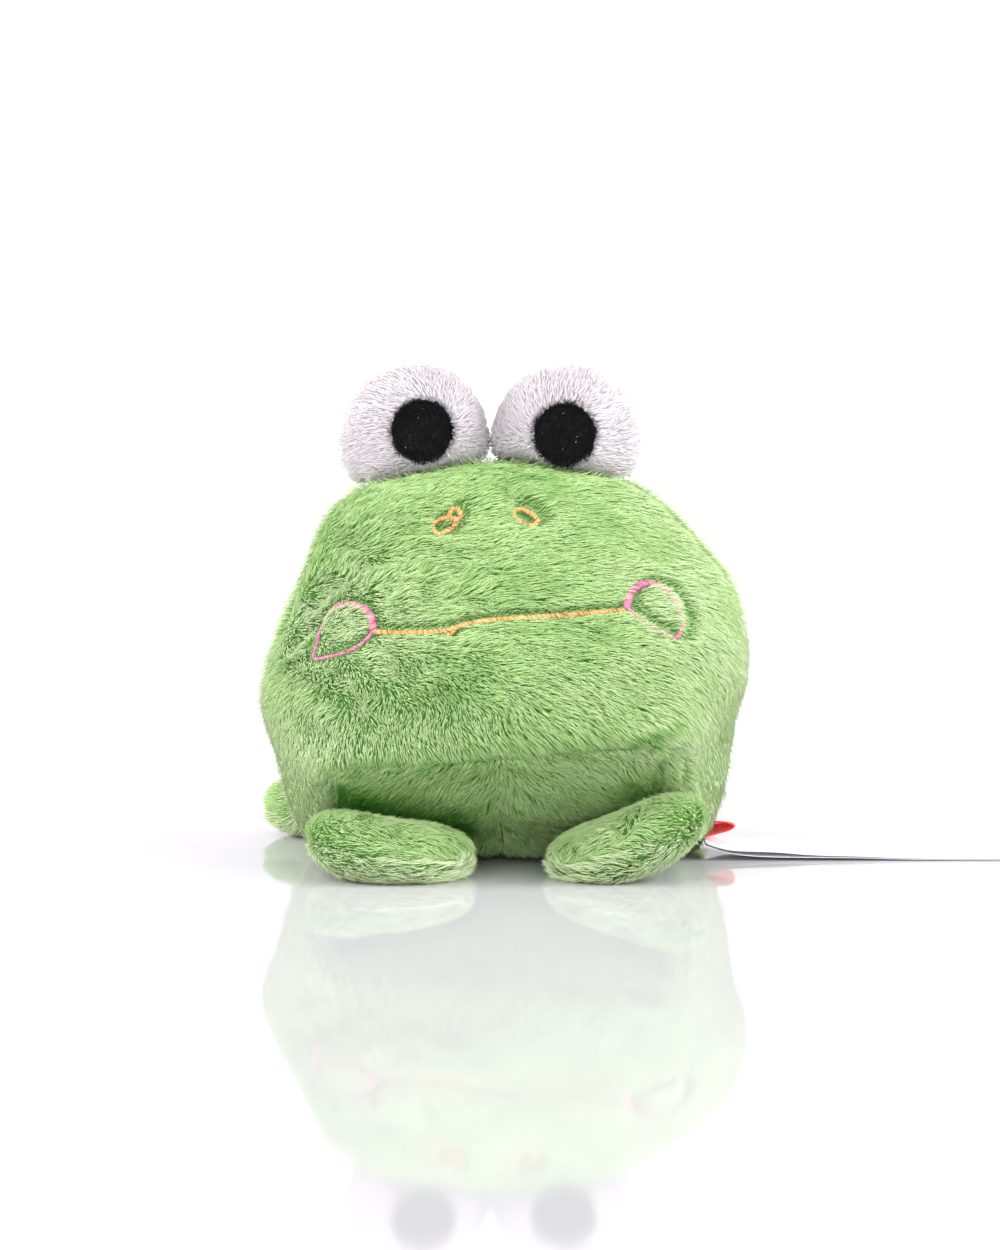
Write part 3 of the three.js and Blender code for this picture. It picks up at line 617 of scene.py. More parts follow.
def set_back(skin, panels, numbers, depth, reach):
    """Sets some panels back, behind the rim that they share with the others."""
    rim = rim_of(skin, panels, numbers)
    faces = np.flatnonzero(np.isin(panels, numbers))
    inside = {i for face in faces for i in skin.data.polygons[face].vertices}
    inside = np.array(sorted(inside - set(rim)))
    points = points_of(skin)
    above_floor = step(points[inside, 2], 1.5 * MM, 8 * MM)
    dips = np.zeros(len(points))
    dips[inside] = depth * above_floor * bell(distance_to(points[inside], points[rim]), reach)
    sink(skin, points, dips)


body_skin = solid_copy("body_skin", "body_filling")
grown = points_of(body_skin)
grown += unit(grown - CLOTH_CENTRE) * (FILLING_DEPTH - GROUND_DEPTH)
set_points(body_skin, grown)
body_skin = netted(body_skin, BODY_NET, smoothing=3)
stuff(body_skin, near_seams(body_skin, BODY_PANELS, 0.8 * MM), rise=0.9 * MM)
modified(body_skin, "SUBSURF", levels=1, render_levels=1)
body_panels = panels_over(body_skin, BODY_PANELS)
body_seams = draw_seams(body_skin, body_panels, 0.6 * MM, CHIN_NUMBERS, 1.4 * MM)
for marks, depth, width in FACE_CREASES:
    crease(body_skin, marks, depth, width)
creased_tree = surface_tree(body_skin)
fold_points = np.vstack([smooth_route(marks, MARK_SPACING, creased_tree)[0] for marks in CHIN_FOLDS])
for marks, depth, width in CHIN_CREASES:
    crease(body_skin, marks, depth, width)
set_back(body_skin, body_panels, CHIN_NUMBERS, CHIN_RECESS, CHIN_REACH)
on_the_floor(body_skin)
print("body skin faces:", len(body_skin.data.polygons), "by panel:", np.bincount(body_panels))

# %% [markdown]
# ## The skins of the eyes and feet
# Each eye and foot is a small pad of its own, sewn from two covers round a filling. Their solids are
# joined before the net is laid, and the skin is then sunk to the depth of the ground. The eyes and three
# of the feet are a little fuller in the photo than their solids.

# %% Eye and foot skins
PAD_NET = 0.75 * MM
EYE_DEPTH = 0.4 * MM            # the eyes' white pile stands nearly all outside the solid
EYE_SPREAD, EYE_RISE = 0.05, 0.06
HIND_SPREAD = 0.8 * MM          # how far the left hind foot bulges out beyond the body
HIND_RISE = 1.2                 # how much fuller it stands than its solid
TOE_RISE = {"left_front_foot": 1.7 * MM, "right_front_foot": 2.2 * MM}     # of a front foot's outer end
FOOT_SPREAD = {"left_front_foot": 0.05, "right_front_foot": 0.015}         # how much wider it lies
EYE_NAMES = ["left_eye", "right_eye"]
FOOT_NAMES = ["left_front_foot", "right_front_foot", "left_hind_foot", "right_hind_foot"]


def side_of(name):
    return -1 if "left" in name else 1


def eye_form(name, points):
    """An eye filled out to its pile's size: wider, most of all low down on its outer side."""
    low, high = points.min(0), points.max(0)
    away = points - (low + high) / 2
    below = 1 - step(away[:, 2], -7 * MM, 3 * MM)
    outside = step(away[:, 0] * side_of(name), -2 * MM, 6 * MM)
    inside = step(-away[:, 0] * side_of(name), 4 * MM, 9 * MM)
    spread = EYE_SPREAD + 0.06 * outside + 0.07 * below * outside + 0.05 * below * inside
    points[:, 0] += away[:, 0] * spread
    points[:, 2] += (points[:, 2] - low[2]) * EYE_RISE
    return points


def foot_form(name, points):
    """A foot as full as it is in the photo."""
    if name == "left_hind_foot":
        points[:, 0] -= HIND_SPREAD * step(-points[:, 0], 24 * MM, 38 * MM)
        points[:, 2] *= HIND_RISE
    if name in TOE_RISE:
        middle = (points.min(0) + points.max(0)) / 2
        outer_end = step(np.abs(points[:, 0]), 16 * MM, 28 * MM)
        points[:, 2] += TOE_RISE[name] * outer_end * step(points[:, 2], 1 * MM, 7 * MM)
        points[:, :2] += FOOT_SPREAD[name] * (points - middle)[:, :2]
    return points


def pad_skin(name, covers):
    """An eye's or foot's skin, the cover of each of its faces, and its seam points."""
    depth, form = (EYE_DEPTH, eye_form) if name in EYE_NAMES else (GROUND_DEPTH, foot_form)
    skin = netted(solid_copy(name + "_skin", *covers, name + "_filling"), PAD_NET, smoothing=4)
    modified(skin, "DISPLACE", strength=-depth, mid_level=0)
    set_points(skin, form(name, points_of(skin)))
    modified(skin, "SMOOTH", factor=0.5, iterations=2)
    stuff(skin, near_seams(skin, covers, 0.5 * MM), rise=0.5 * MM)
    panels = panels_over(skin, covers)
    seams = draw_seams(skin, panels, 0.25 * MM)
    on_the_floor(skin)
    print(name, "faces by cover:", np.bincount(panels))
    return skin, panels, seams


pad_covers = {name: [name + "_front_cover", name + "_back_cover"] for name in EYE_NAMES}
pad_covers |= {name: [name + "_upper_cover", name + "_sole_cover"] for name in FOOT_NAMES}
pad_skins = {name: pad_skin(name, covers) for name, covers in pad_covers.items()}

# %% [markdown]
# ## Cutting the panels
# The skins are cut along their seams into the real panels, as a seam ripper would. Each panel gets the
# thickness of the knitted ground towards the inside, and stands for its CAD node from here on. The pile
# is grown later from its outer face, so a thin copy of that face is kept until then.

# %% Cloth panels
GROUND_THICKNESS = 0.8 * MM


def cut_panel(skin, panels, number, name):
    """A copy of one panel of a skin, as an open sheet of squares."""
    sheet = new_object(name, skin.data.copy())
    select_only(sheet)
    for part in (sheet.data.vertices, sheet.data.edges):
        part.foreach_set("select", np.zeros(len(part), bool))
    sheet.data.polygons.foreach_set("select", panels != number)
    bpy.ops.object.mode_set(mode="EDIT")
    bpy.ops.mesh.select_mode(type="FACE")
    bpy.ops.mesh.delete(type="FACE")
    bpy.ops.object.mode_set(mode="OBJECT")
    return sheet


sheets = {}
cloth_bodies = [("frog_body", body_skin, body_panels, BODY_PANELS)]
cloth_bodies += [(name, skin, panels, pad_covers[name]) for name, (skin, panels, _) in pad_skins.items()]
for body, skin, panels, nodes in cloth_bodies:
    for number, node in enumerate(nodes):
        slot = "white_plush" if node.endswith("eye_front_cover") else "green_plush"
        sheets[node] = cut_panel(skin, panels, number, node + "_sheet")
        ground = new_object(node + "_ground", sheets[node].data.copy())
        modified(ground, "SOLIDIFY", thickness=GROUND_THICKNESS, offset=-1)
        dress(ground, GROUNDS[slot], body, node)
print("panels:", len(sheets))

# %% [markdown]
# ## Filling
# The polyester filling is sealed inside and shows only if a cover is taken off. It is its skin's shape,
# sunk below the knitted ground, with a soft lumpy surface from noise that is pressed inwards, so that it
# never meets its cover.

# %% Filling pieces
FILLING_GAP = 0.3 * MM
FILLING_LUMPS = 0.7 * MM        # how deep its hollows are


def slow_waves(points, length, seed):
    """Smooth noise between about -1 and 1, made of a few slow waves in seeded directions."""
    rng = np.random.default_rng(seed)
    total = np.zeros(len(points))
    for _ in range(9):
        way = unit(rng.normal(size=3)) * 2 * math.pi / (length * rng.uniform(0.7, 1.6))
        total += np.sin(points @ way + rng.uniform(0, 2 * math.pi))
    return total / 3


def filling_piece(node, body, skin, net):
    piece = new_object(node + "_fibre", skin.data.copy())
    modified(piece, "DISPLACE", strength=-GROUND_THICKNESS - FILLING_GAP, mid_level=0)
    piece = netted(piece, net, smoothing=4)
    points = points_of(piece)
    lumps = np.clip(slow_waves(points, 9 * MM, 5) + 0.5 * slow_waves(points, 4 * MM, 6), -1, 1)
    sink(piece, points, (0.5 - 0.5 * lumps) * FILLING_LUMPS)
    dress(piece, stuffing, body, node)


filling_piece("body_filling", "frog_body", body_skin, 1.6 * MM)
for name, (skin, _, _) in pad_skins.items():
    filling_piece(name + "_filling", name, skin, 1 * MM)

# %% [markdown]
# ## One strand of pile
# The whole pile is one strand, copied many thousand times. It is a thin cone with three sides, cut once
# across so that it can bend, which keeps it to ten triangles. A curve per strand would look the same and
# cost far more.

# %% The strand
def template_of(obj):
    """A mesh to be copied: its points, and its faces as lists of point numbers."""
    points = points_of(obj)
    faces = [list(face.vertices) for face in obj.data.polygons]
    bpy.data.objects.remove(obj)
    return points, faces


STRAND_BEND = 0.5               # how far along it a strand bends
STRAND_BELLY = 1.6              # how much fuller it is there than a plain cone
bpy.ops.object.select_all(action="DESELECT")
bpy.ops.mesh.primitive_cone_add(vertices=3, radius1=1, radius2=0, depth=1, location=(0, 0, 0.5))
strand = bpy.context.view_layer.objects.active
bpy.ops.object.transform_apply(location=True)
in_edit_mode(strand, (bpy.ops.mesh.bisect, {"plane_co": (0, 0, STRAND_BEND), "plane_no": (0, 0, 1)}))
STRAND = template_of(strand)
STRAND[0][np.abs(STRAND[0][:, 2] - STRAND_BEND) < 0.01, :2] *= STRAND_BELLY
print("a strand has", len(STRAND[0]), "points and", len(STRAND[1]), "faces")

# %% [markdown]
# ## Copying a shape many times
# `lay_copies` takes the points of every copy at once and writes one mesh. Each copy keeps its tone and
# each point how far along it lies, for the shader. A colour map is laid out by the same two numbers, tone
# across and length up, so that all the strands of one tone can share one column of it.

# %% Many copies in one mesh
TONE_SHARE = 0.94               # of the map's width, which the tones fill
MAP_TURN = 0.01                 # how wide a copy is on the map


def lay_copies(name, template, placed, tones):
    """One mesh of copies: placed holds each copy's points, and tones one number each."""
    shape, faces = template
    copies, size = placed.shape[:2]
    sizes = np.array([len(face) for face in faces])
    corners = np.concatenate([np.array(face) for face in faces])
    loops = (corners + size * np.arange(copies)[:, None]).ravel()
    starts = np.concatenate([[0], np.cumsum(np.tile(sizes, copies))[:-1]])
    mesh = bpy.data.meshes.new(name)
    mesh.vertices.add(copies * size)
    mesh.vertices.foreach_set("co", placed.astype(np.float32).ravel())
    mesh.loops.add(len(loops))
    mesh.loops.foreach_set("vertex_index", loops.astype(np.int32))
    mesh.polygons.add(copies * len(faces))
    mesh.polygons.foreach_set("loop_start", starts.astype(np.int32))
    low, high = shape[:, 2].min(), shape[:, 2].max()
    along = (shape[:, 2] - low) / (high - low)
    turn = np.arctan2(shape[:, 1], shape[:, 0]) / math.pi
    mesh.attributes.new("tone", "FLOAT", "POINT").data.foreach_set("value", np.repeat(tones, size))
    mesh.attributes.new("along", "FLOAT", "POINT").data.foreach_set("value", np.tile(along, copies))
    across = tones[:, None] * TONE_SHARE + 0.03 + MAP_TURN * turn[corners]
    up = np.tile(0.02 + 0.95 * along[corners] + MAP_TURN * turn[corners] ** 2, (copies, 1))
    layout = mesh.uv_layers.new(name="OFBake")
    layout.data.foreach_set("uv", np.stack([across, up], axis=2).astype(np.float32).ravel())
    mesh.update(calc_edges=True)
    return new_object(name, mesh)


# %% [markdown]
# ## Growing pile
# Roots are scattered evenly over a sheet. Each strand leaves the cloth leaning along the nap, bends over
# further at its tip, and is drawn towards the tip of its clump, because pile that has been handled gathers
# in little tufts and falls into streaks. The nap's way is a function of place, so each panel can be
# brushed as the real one is.

# %% Scatter and grow
PER_SQUARE_MM = 1e6
STRANDS_PER_LOCK = 14
STRANDS_PER_PIECE = 18000       # keeps a piece under 200,000 triangles
STREAK_LENGTH, STREAK_WIDTH = 8 * MM, 1.5 * MM
STREAK_REACH = 0.25 * MM        # how far to each side a strand feels the next streak
STREAK_GATHER = 0.06 * MM       # how far it moves towards it
ROOT_DEPTH = 0.2 * MM           # how deep a root sits in the ground
LOWEST_TIP = 0.1 * MM           # above the floor


def scatter(sheet, density, rng):
    """Roots spread evenly over a sheet, so many a square metre, and the way out of the cloth at each."""
    squares = numbers_of(sheet.data.loops, "vertex_index").reshape(-1, 4)
    points, normals = points_of(sheet), normals_of(sheet)
    a, b, c, d = (points[squares[:, i]] for i in range(4))
    areas = np.linalg.norm(np.cross(c - a, d - b), axis=1) / 2
    ends = np.floor(np.cumsum(areas * density) + rng.random()).astype(int)
    square = np.repeat(np.arange(len(squares)), np.diff(ends, prepend=0))
    u, v = rng.random((2, len(square), 1))
    shares = ((1 - u) * (1 - v), u * (1 - v), u * v, (1 - u) * v)
    roots = sum(share * points[squares[square, i]] for i, share in enumerate(shares))
    outward = unit(sum(share * normals[squares[square, i]] for i, share in enumerate(shares)))
    return roots, outward


def streaks(roots, nap, seed):
    """Noise of about 1 in size that is drawn out along the nap: the lines that combed pile falls into."""
    stops = np.linspace(-STREAK_LENGTH / 2, STREAK_LENGTH / 2, 9)
    total = sum(slow_waves(roots + stop * nap, STREAK_WIDTH, seed) for stop in stops)
    return total / total.std()


def along_cloth(nap, outward):
    """The part of each way that lies in the cloth."""
    return unit(nap - outward * (nap * outward).sum(1, keepdims=True))


def grow(name, roots, outward, nap, lengths, tones, seed,
         width=0.076 * MM, lean=42, lock=1.5 * MM, draw=0.12, drift=0.1 * MM, comb=1.0, tuft=4):
    """A pile of strands. Nap is the way each leans, and draw how strongly a lock gathers its tips. Drift is
    how far slow waves carry them, comb how strongly they fall into lines, tuft how far waves lift them."""
    rng = np.random.default_rng(seed)
    count = len(roots)
    nap = along_cloth(nap, outward)
    side = np.cross(outward, nap)
    middles = rng.choice(count, max(1, count // STRANDS_PER_LOCK), replace=False)
    lock_of, _ = nearest(roots, roots[middles])
    streak = comb * streaks(roots, nap, seed + 3)
    beside = STREAK_REACH * side
    gather = comb * (streaks(roots + beside, nap, seed + 3) - streaks(roots - beside, nap, seed + 3))
    shared = rng.normal(size=(len(middles), 4))[lock_of]
    own = rng.normal(size=(count, 4))

    # Each strand's way, length and lean vary with its lock, its streak and by itself.
    swing = np.radians(3 * shared[:, 0] + 5 * own[:, 0])[:, None]
    nap, side = nap * np.cos(swing) + side * np.sin(swing), side * np.cos(swing) - nap * np.sin(swing)
    reach = (lengths * np.clip(1 + 0.03 * streak + 0.06 * own[:, 1], 0.75, 1.25))[:, None]
    lean = lean + 1.5 * shared[:, 2] + 4 * own[:, 2] - 1.6 * streak
    lean = lean + tuft * slow_waves(roots, 5 * MM, seed + 4)
    first = np.radians(np.clip(0.7 * lean, 4, 72))[:, None]
    second = np.radians(np.clip(1.45 * lean, 10, 86))[:, None]
    bend = roots + STRAND_BEND * reach * (outward * np.cos(first) + nap * np.sin(first))
    tip = bend + (1 - STRAND_BEND) * reach * (outward * np.cos(second) + nap * np.sin(second))

    # The tips gather in locks, drift with slow waves and fall into streaks.
    target = tip[middles][lock_of]
    pull = draw * np.minimum(1, lock / np.maximum(np.linalg.norm(target - tip, axis=1, keepdims=True), 1e-9))
    waves = [slow_waves(roots, 5 * MM, seed + turn)[:, None] for turn in (1, 2)]
    share = reach / reach.max()
    drift = (drift * np.ones(count))[:, None]
    move = (target - tip) * pull + drift * share * (nap * waves[0] + side * waves[1])
    move += STREAK_GATHER * share * side * np.clip(gather, -2, 2)[:, None]
    tip = tip + move
    bend = bend + 0.35 * move

    tones = np.clip(tones + 0.02 * shared[:, 3] + 0.035 * own[:, 3] + 0.04 * streak, 0, 1)
    levels = np.stack([roots - outward * ROOT_DEPTH, bend, tip], axis=1)
    shape = STRAND[0]
    level = np.rint(shape[:, 2] / STRAND_BEND).astype(int)
    second_way = unit(np.cross(side, tip - roots))
    wide = width * rng.uniform(0.8, 1.2, count)[:, None, None]
    placed = levels[:, level] + wide * (
        shape[None, :, :1] * side[:, None] + shape[None, :, 1:2] * second_way[:, None])
    placed[:, :, 2] = np.maximum(placed[:, :, 2], LOWEST_TIP)
    return lay_copies(name, STRAND, placed, tones)


def grow_pieces(node, body, slot, roots, outward, nap, lengths, tones, seed, **style):
    """Grows one panel's pile from left to right, in as many pieces as keep each one small."""
    parts = math.ceil(len(roots) / STRANDS_PER_PIECE)
    for part, chosen in enumerate(np.array_split(np.argsort(roots[:, 0], kind="stable"), parts)):
        name = f"{node}_pile_{part + 1}" if parts > 1 else node + "_pile"
        chosen_style = {key: value[chosen] if isinstance(value, np.ndarray) else value
                        for key, value in style.items()}
        pile = grow(name, roots[chosen], outward[chosen], nap[chosen], lengths[chosen], tones[chosen],
                    seed + 10 * part, **chosen_style)
        dress(pile, PILES[slot], body)
        print(name, "strands:", len(chosen))


# %% [markdown]
# ## Brushing the body
# The face is one panel, so its nap runs one way: across to the right above, and down to the right below.
# Below the chin it parts at the middle seam. Down the back and flanks it falls. Slow waves ruffle it, most
# on the left of the face, where the real pile is rubbed up into tufts.

# %% Nap of the body
def turned(nap, outward, angle):
    """The nap turned about the way out of the cloth by an angle in radians."""
    nap = along_cloth(nap, outward)
    return nap * np.cos(angle)[:, None] + np.cross(outward, nap) * np.sin(angle)[:, None]


def rubbed_up(roots):
    """Where the pile of the face is rubbed the wrong way: on its left, above and below the mouth."""
    x, z = roots[:, 0], roots[:, 2]
    left = step(x, 8 * MM, -10 * MM)
    above = step(z, 38 * MM, 41 * MM) * step(z, 52 * MM, 46 * MM)
    below = step(z, 22 * MM, 26 * MM) * step(z, 38 * MM, 35 * MM)
    return left * (above + 0.8 * below)


def face_nap(roots, outward):
    """Angles in degrees from straight down, towards the right."""
    x, z = roots[:, 0], roots[:, 2]
    high = step(z, 24 * MM, 48 * MM)
    side = step(x, 24 * MM, 37 * MM)
    above = 100 - 22 * step(x, -20 * MM, 22 * MM) - 30 * side
    below = 6 + 38 * step(x, -24 * MM, 8 * MM) - 28 * side
    angle = np.radians(mix(below, above, high))
    nap = np.stack([np.sin(angle), np.full_like(x, 0.05), -np.cos(angle)], axis=1)
    ruffle = 0.14 * slow_waves(roots, 17 * MM, 11)
    ruffle += (0.08 + 0.5 * rubbed_up(roots)) * slow_waves(roots, 6 * MM, 12)
    return turned(nap, outward, ruffle)


def parted(roots, width, sideways, back, down):
    """A nap that falls, and parts to both sides of the middle over a width."""
    parting = np.tanh(roots[:, 0] / width)
    return np.stack([sideways * parting, np.full(len(roots), back), np.full(len(roots), -down)], axis=1)


def chin_nap(roots, outward):
    return turned(parted(roots, 2.5 * MM, 0.9, 0.0, 0.75), outward, 0.25 * slow_waves(roots, 9 * MM, 13))


def back_nap(roots, outward):
    ruffle = 0.35 * slow_waves(roots, 15 * MM, 14) + 0.2 * slow_waves(roots, 6 * MM, 15)
    return turned(parted(roots, 6 * MM, 0.35, 0.15, 1.0), outward, ruffle)


def base_nap(roots, outward):
    return turned(roots - np.array((0, 12 * MM, 0)), outward, 0.3 * slow_waves(roots, 9 * MM, 16))


# %% [markdown]
# ## Where the pile is pressed
# Pile is short where something presses it: under an eye or a foot, and close to embroidery. The thread
# lines are therefore placed before the pile grows. They are given by a few points in the frame, and each
# is dropped along its sight line onto the face.

# %% Lines of embroidery on the face
STITCH_PITCH = 0.125 * MM
FINE_STITCH, MOUTH_STITCH, CHEEK_STITCH, NOSTRIL_STITCH = 0.7 * MM, 1.25 * MM, 1.55 * MM, 1.05 * MM
THREAD_MARKS = {                # each line's marks, the length of its stitches, and whether it is a ring
    "mouth": [
        ([(374, 631.5), (398, 632.5), (425, 632), (447, 630), (457, 627), (470, 623), (494, 619.5),
          (532, 617), (570, 614.5), (600, 612), (626, 610)], MOUTH_STITCH, False),
        ([(446, 632.5), (450, 634.5), (455, 630)], FINE_STITCH, False),
    ],
    "left_cheek": [
        ([(373, 631), (371, 618), (363, 608), (349, 604), (336, 607), (327, 616)], CHEEK_STITCH, False),
        ([(327, 616), (320, 631), (316, 645), (314, 658), (330, 656), (346, 652), (359, 645),
          (367, 638), (373, 631)], FINE_STITCH, False),
    ],
    "right_cheek": [
        ([(627, 607), (629, 596), (636, 587), (648, 583), (662, 587), (673, 597), (680, 610)],
         CHEEK_STITCH, False),
        ([(680, 610), (683, 622), (679, 635), (673, 637), (660, 631), (646, 622), (634, 613),
          (627, 607)], FINE_STITCH, False),
    ],
    "left_nostril": [
        ([(432, 527), (436, 533), (444, 532), (453, 527), (456, 521), (450, 517.5), (442, 518.5),
          (435, 522)], NOSTRIL_STITCH, True),
        ([(449, 517), (451.5, 510), (455, 508), (460, 512), (460.5, 517), (455, 519)], NOSTRIL_STITCH, True),
    ],
    "right_nostril": [
        ([(514, 511), (522, 509), (532, 514), (538, 521), (532, 525), (522, 522), (515, 517)],
         NOSTRIL_STITCH, True),
    ],
}
body_tree = surface_tree(body_skin)
thread_routes = {
    name: [(smooth_route(marks, STITCH_PITCH, body_tree, closed), wide) for marks, wide, closed in lines]
    for name, lines in THREAD_MARKS.items()
}
thread_points = np.vstack([route[0] for routes in thread_routes.values() for route, _ in routes])
print("stitches:", len(thread_points))

# %% [markdown]
# ## The pile of the body
# The face carries most strands, so its pile is made in several pieces. Seams keep a fringe that hangs over
# them, which hides the needle's line as it does on the real toy. What the photo shows of light and dark in
# the pile is painted into the tones: painted light to the right of the face, low on its left, on the right
# chin panel and over the back panels, most at their seams, and painted shade along the seams, in the folds
# of the chin, in the hollows beside the front feet and over the whole base.

# %% Body pile
pad_points = np.vstack([points_of(skin) for skin, _, _ in pad_skins.values()])


def close_to(roots, marks, near, far):
    """1 for the strands that have a mark nearer than near, and 0 for those that have none within far."""
    return 1 - step(distance_to(roots, marks), near, far)


def pressed(roots, marks, near, far, least):
    """A share for the length of each strand: the least where a mark is near, and 1 where none is."""
    return mix(least, 1, step(distance_to(roots, marks), near, far))


def face_changes(roots, x, z):
    """What the photo shows: a factor for the pile's lengths, painted light and shade in its tones, and its
    leans.
    """
    at_seam = close_to(roots, body_seams, 0.4 * MM, 2.6 * MM)
    at_chin = close_to(roots, body_seams, 0.4 * MM, 1.4 * MM) * step(-z, -32 * MM, -26 * MM)
    at_fold = close_to(roots, fold_points, 0.3 * MM, 1.3 * MM)
    low_left = step(-x, -6 * MM, 6 * MM) * step(-z, -42 * MM, -34 * MM)
    painted_light_low_left = step(-x, 6 * MM, 28 * MM) * step(-z, -52 * MM, -42 * MM)
    lengths = pressed(roots, thread_points, 0.5 * MM, 1.5 * MM, 0.3)
    lengths = lengths * (1 - 0.14 * low_left) * (1 - 0.15 * at_seam) * (1 - 0.12 * at_fold)
    # Painted light to the right and low on the left; painted shade along the seams, darkest at the chin, and
    # in the folds.
    tones = 0.3 * step(x, 12 * MM, 34 * MM) + 0.3 * painted_light_low_left - 0.1 * at_seam
    tones = tones - 0.45 * at_chin * (1 - step(np.abs(x), 7 * MM, 13 * MM)) - 0.4 * at_fold
    return lengths, tones, -7 * rubbed_up(roots)


def back_changes(roots, x, z):
    at_seam = close_to(roots, body_seams, 0.6 * MM, 5 * MM)
    # Longer, more upright pile by the seams, with painted light there, where the flanks' edges catch the
    # light.
    return 1 + 0.15 * at_seam, 0.25 * at_seam, -10 * at_seam


def chin_changes(roots, x, z):
    at_seam = close_to(roots, body_seams, 0.4 * MM, 1.8 * MM) * step(z, 12 * MM, 15 * MM)
    shade_by_left_foot = bell(z - 13 * MM + 0.3 * (x + 23 * MM), 3.4 * MM) * step(-x, 0, 7 * MM)
    shade_by_right_foot = bell(np.hypot(x - 21 * MM, 1.6 * (z - 13 * MM)), 5 * MM)
    # A little painted light over the panel, and painted shade: a dark line under the face's fringe and the
    # hollows beside the front feet.
    return 1, 0.05 - 0.8 * at_seam - 0.7 * shade_by_left_foot - 0.45 * shade_by_right_foot, 0


def base_changes(roots, x, z):
    return 1, 0, 0


def body_pile(node, nap, changes, density, length, lean, seed, painted_light=0.0, **style):
    roots, outward = scatter(sheets[node], density, np.random.default_rng(seed))
    factor, toned, leaned = changes(roots, roots[:, 0], roots[:, 2])
    lengths = length * pressed(roots, pad_points, 0.6 * MM, 2 * MM, 0.45) * factor
    # A positive painted_light paints light over a whole panel, and a negative one paints shade.
    tones = 0.5 + painted_light + 0.07 * slow_waves(roots, 14 * MM, 21) + 0.05 * slow_waves(roots, 4 * MM, 22)
    level = np.zeros(len(roots))
    drifts = level + 0.1 * MM + 0.2 * MM * (rubbed_up(roots) if node == "face_panel" else 0)
    grow_pieces(node, "frog_body", "green_plush", roots, outward, nap(roots, outward), lengths, tones + toned,
                seed + 1, lean=level + lean + leaned, drift=drifts, **style)


body_pile("face_panel", face_nap, face_changes, 11.2 * PER_SQUARE_MM, 2.9 * MM, 55, 31,
          width=0.078 * MM, comb=0.75)
# Painted light on the right chin panel and the back panels, and painted shade over the base, for the shadow
# under the body.
for side in ("left", "right"):
    body_pile(side + "_chin_panel", chin_nap, chin_changes, 8 * PER_SQUARE_MM, 2.6 * MM, 48, 33,
              painted_light=0.06 if side == "right" else 0)
    body_pile(side + "_back_panel", back_nap, back_changes, 4.4 * PER_SQUARE_MM, 2.9 * MM, 46, 35,
              painted_light=0.25, width=0.086 * MM, tuft=8)
body_pile("base_panel", base_nap, base_changes, 1.8 * PER_SQUARE_MM, 2.4 * MM, 50, 37, painted_light=-0.4)

# %% [markdown]
# ## The pile of the eyes and feet
# The white pile of an eye spreads from the pupil to the rim and outwards. A foot's upper side has a dense
# nap that runs from the heel and inwards, and the sole's pile is longer and fans out over the edge. Both
# foot covers get painted light, the sole much more.

# %% Eye and foot pile
PUPIL_OPENING = 4.7 * MM        # no pile grows this near the pupil's middle
PUPIL_DROP = {"left_eye": 0.5 * MM, "right_eye": 1.1 * MM}
body_points = points_of(body_skin)


def middle_of(node):
    return sum(np.array(corner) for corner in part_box(node)) / 2


def pad_pile(name, node, slot, density, length, lean, ways, ruffle, seed, keep=None, painted_light=0.0, **style):
    """Ways gives the nap before it is ruffled, and ruffle how much, the waves' length and their seed."""
    roots, outward = scatter(sheets[node], density, np.random.default_rng(seed))
    if keep is not None:
        kept = keep(roots)
        roots, outward = roots[kept], outward[kept]
    least = 0.85 if slot == "white_plush" else 0.4
    lengths = length * pressed(roots, body_points, 1 * MM, 2.4 * MM, least)
    if node.endswith("upper_cover"):
        lengths = lengths * pressed(roots, pad_skins[name][2], 0.2 * MM, 1.2 * MM, 0.8)
    # A positive painted_light paints light over a whole cover.
    tones = 0.5 + painted_light + 0.08 * slow_waves(roots, 8 * MM, 23) + 0.06 * slow_waves(roots, 3 * MM, 24)
    amount, wave, wave_seed = ruffle
    nap = turned(ways(roots), outward, amount * slow_waves(roots, wave, wave_seed))
    grow_pieces(node, name, slot, roots, outward, nap, lengths, tones, seed + 1, lean=lean, **style)


for number, name in enumerate(EYE_NAMES):
    middle = middle_of(name.replace("_eye", "_pupil_patch")) - np.array((0, 0, PUPIL_DROP[name]))
    outer = np.array((0.5 * side_of(name), 0, 0.15))

    def off_the_pupil(roots, middle=middle):
        flat = (roots - middle) * (1, 0, 1)
        return (np.linalg.norm(flat, axis=1) > PUPIL_OPENING) | (roots[:, 1] > middle[1] + 4 * MM)

    pad_pile(name, name + "_front_cover", "white_plush", 17 * PER_SQUARE_MM, 2.1 * MM, 58,
             lambda roots: unit(roots - middle) + outer, (0.45, 7 * MM, 41), 50 + 4 * number, off_the_pupil,
             width=0.072 * MM, comb=0.25, draw=0.1, tuft=3)
    pad_pile(name, name + "_back_cover", "green_plush", 5.5 * PER_SQUARE_MM, 2 * MM, 46,
             lambda roots: unit(roots - middle) + np.array((0, 1.6, 0)), (0.3, 5 * MM, 43), 52 + 4 * number)

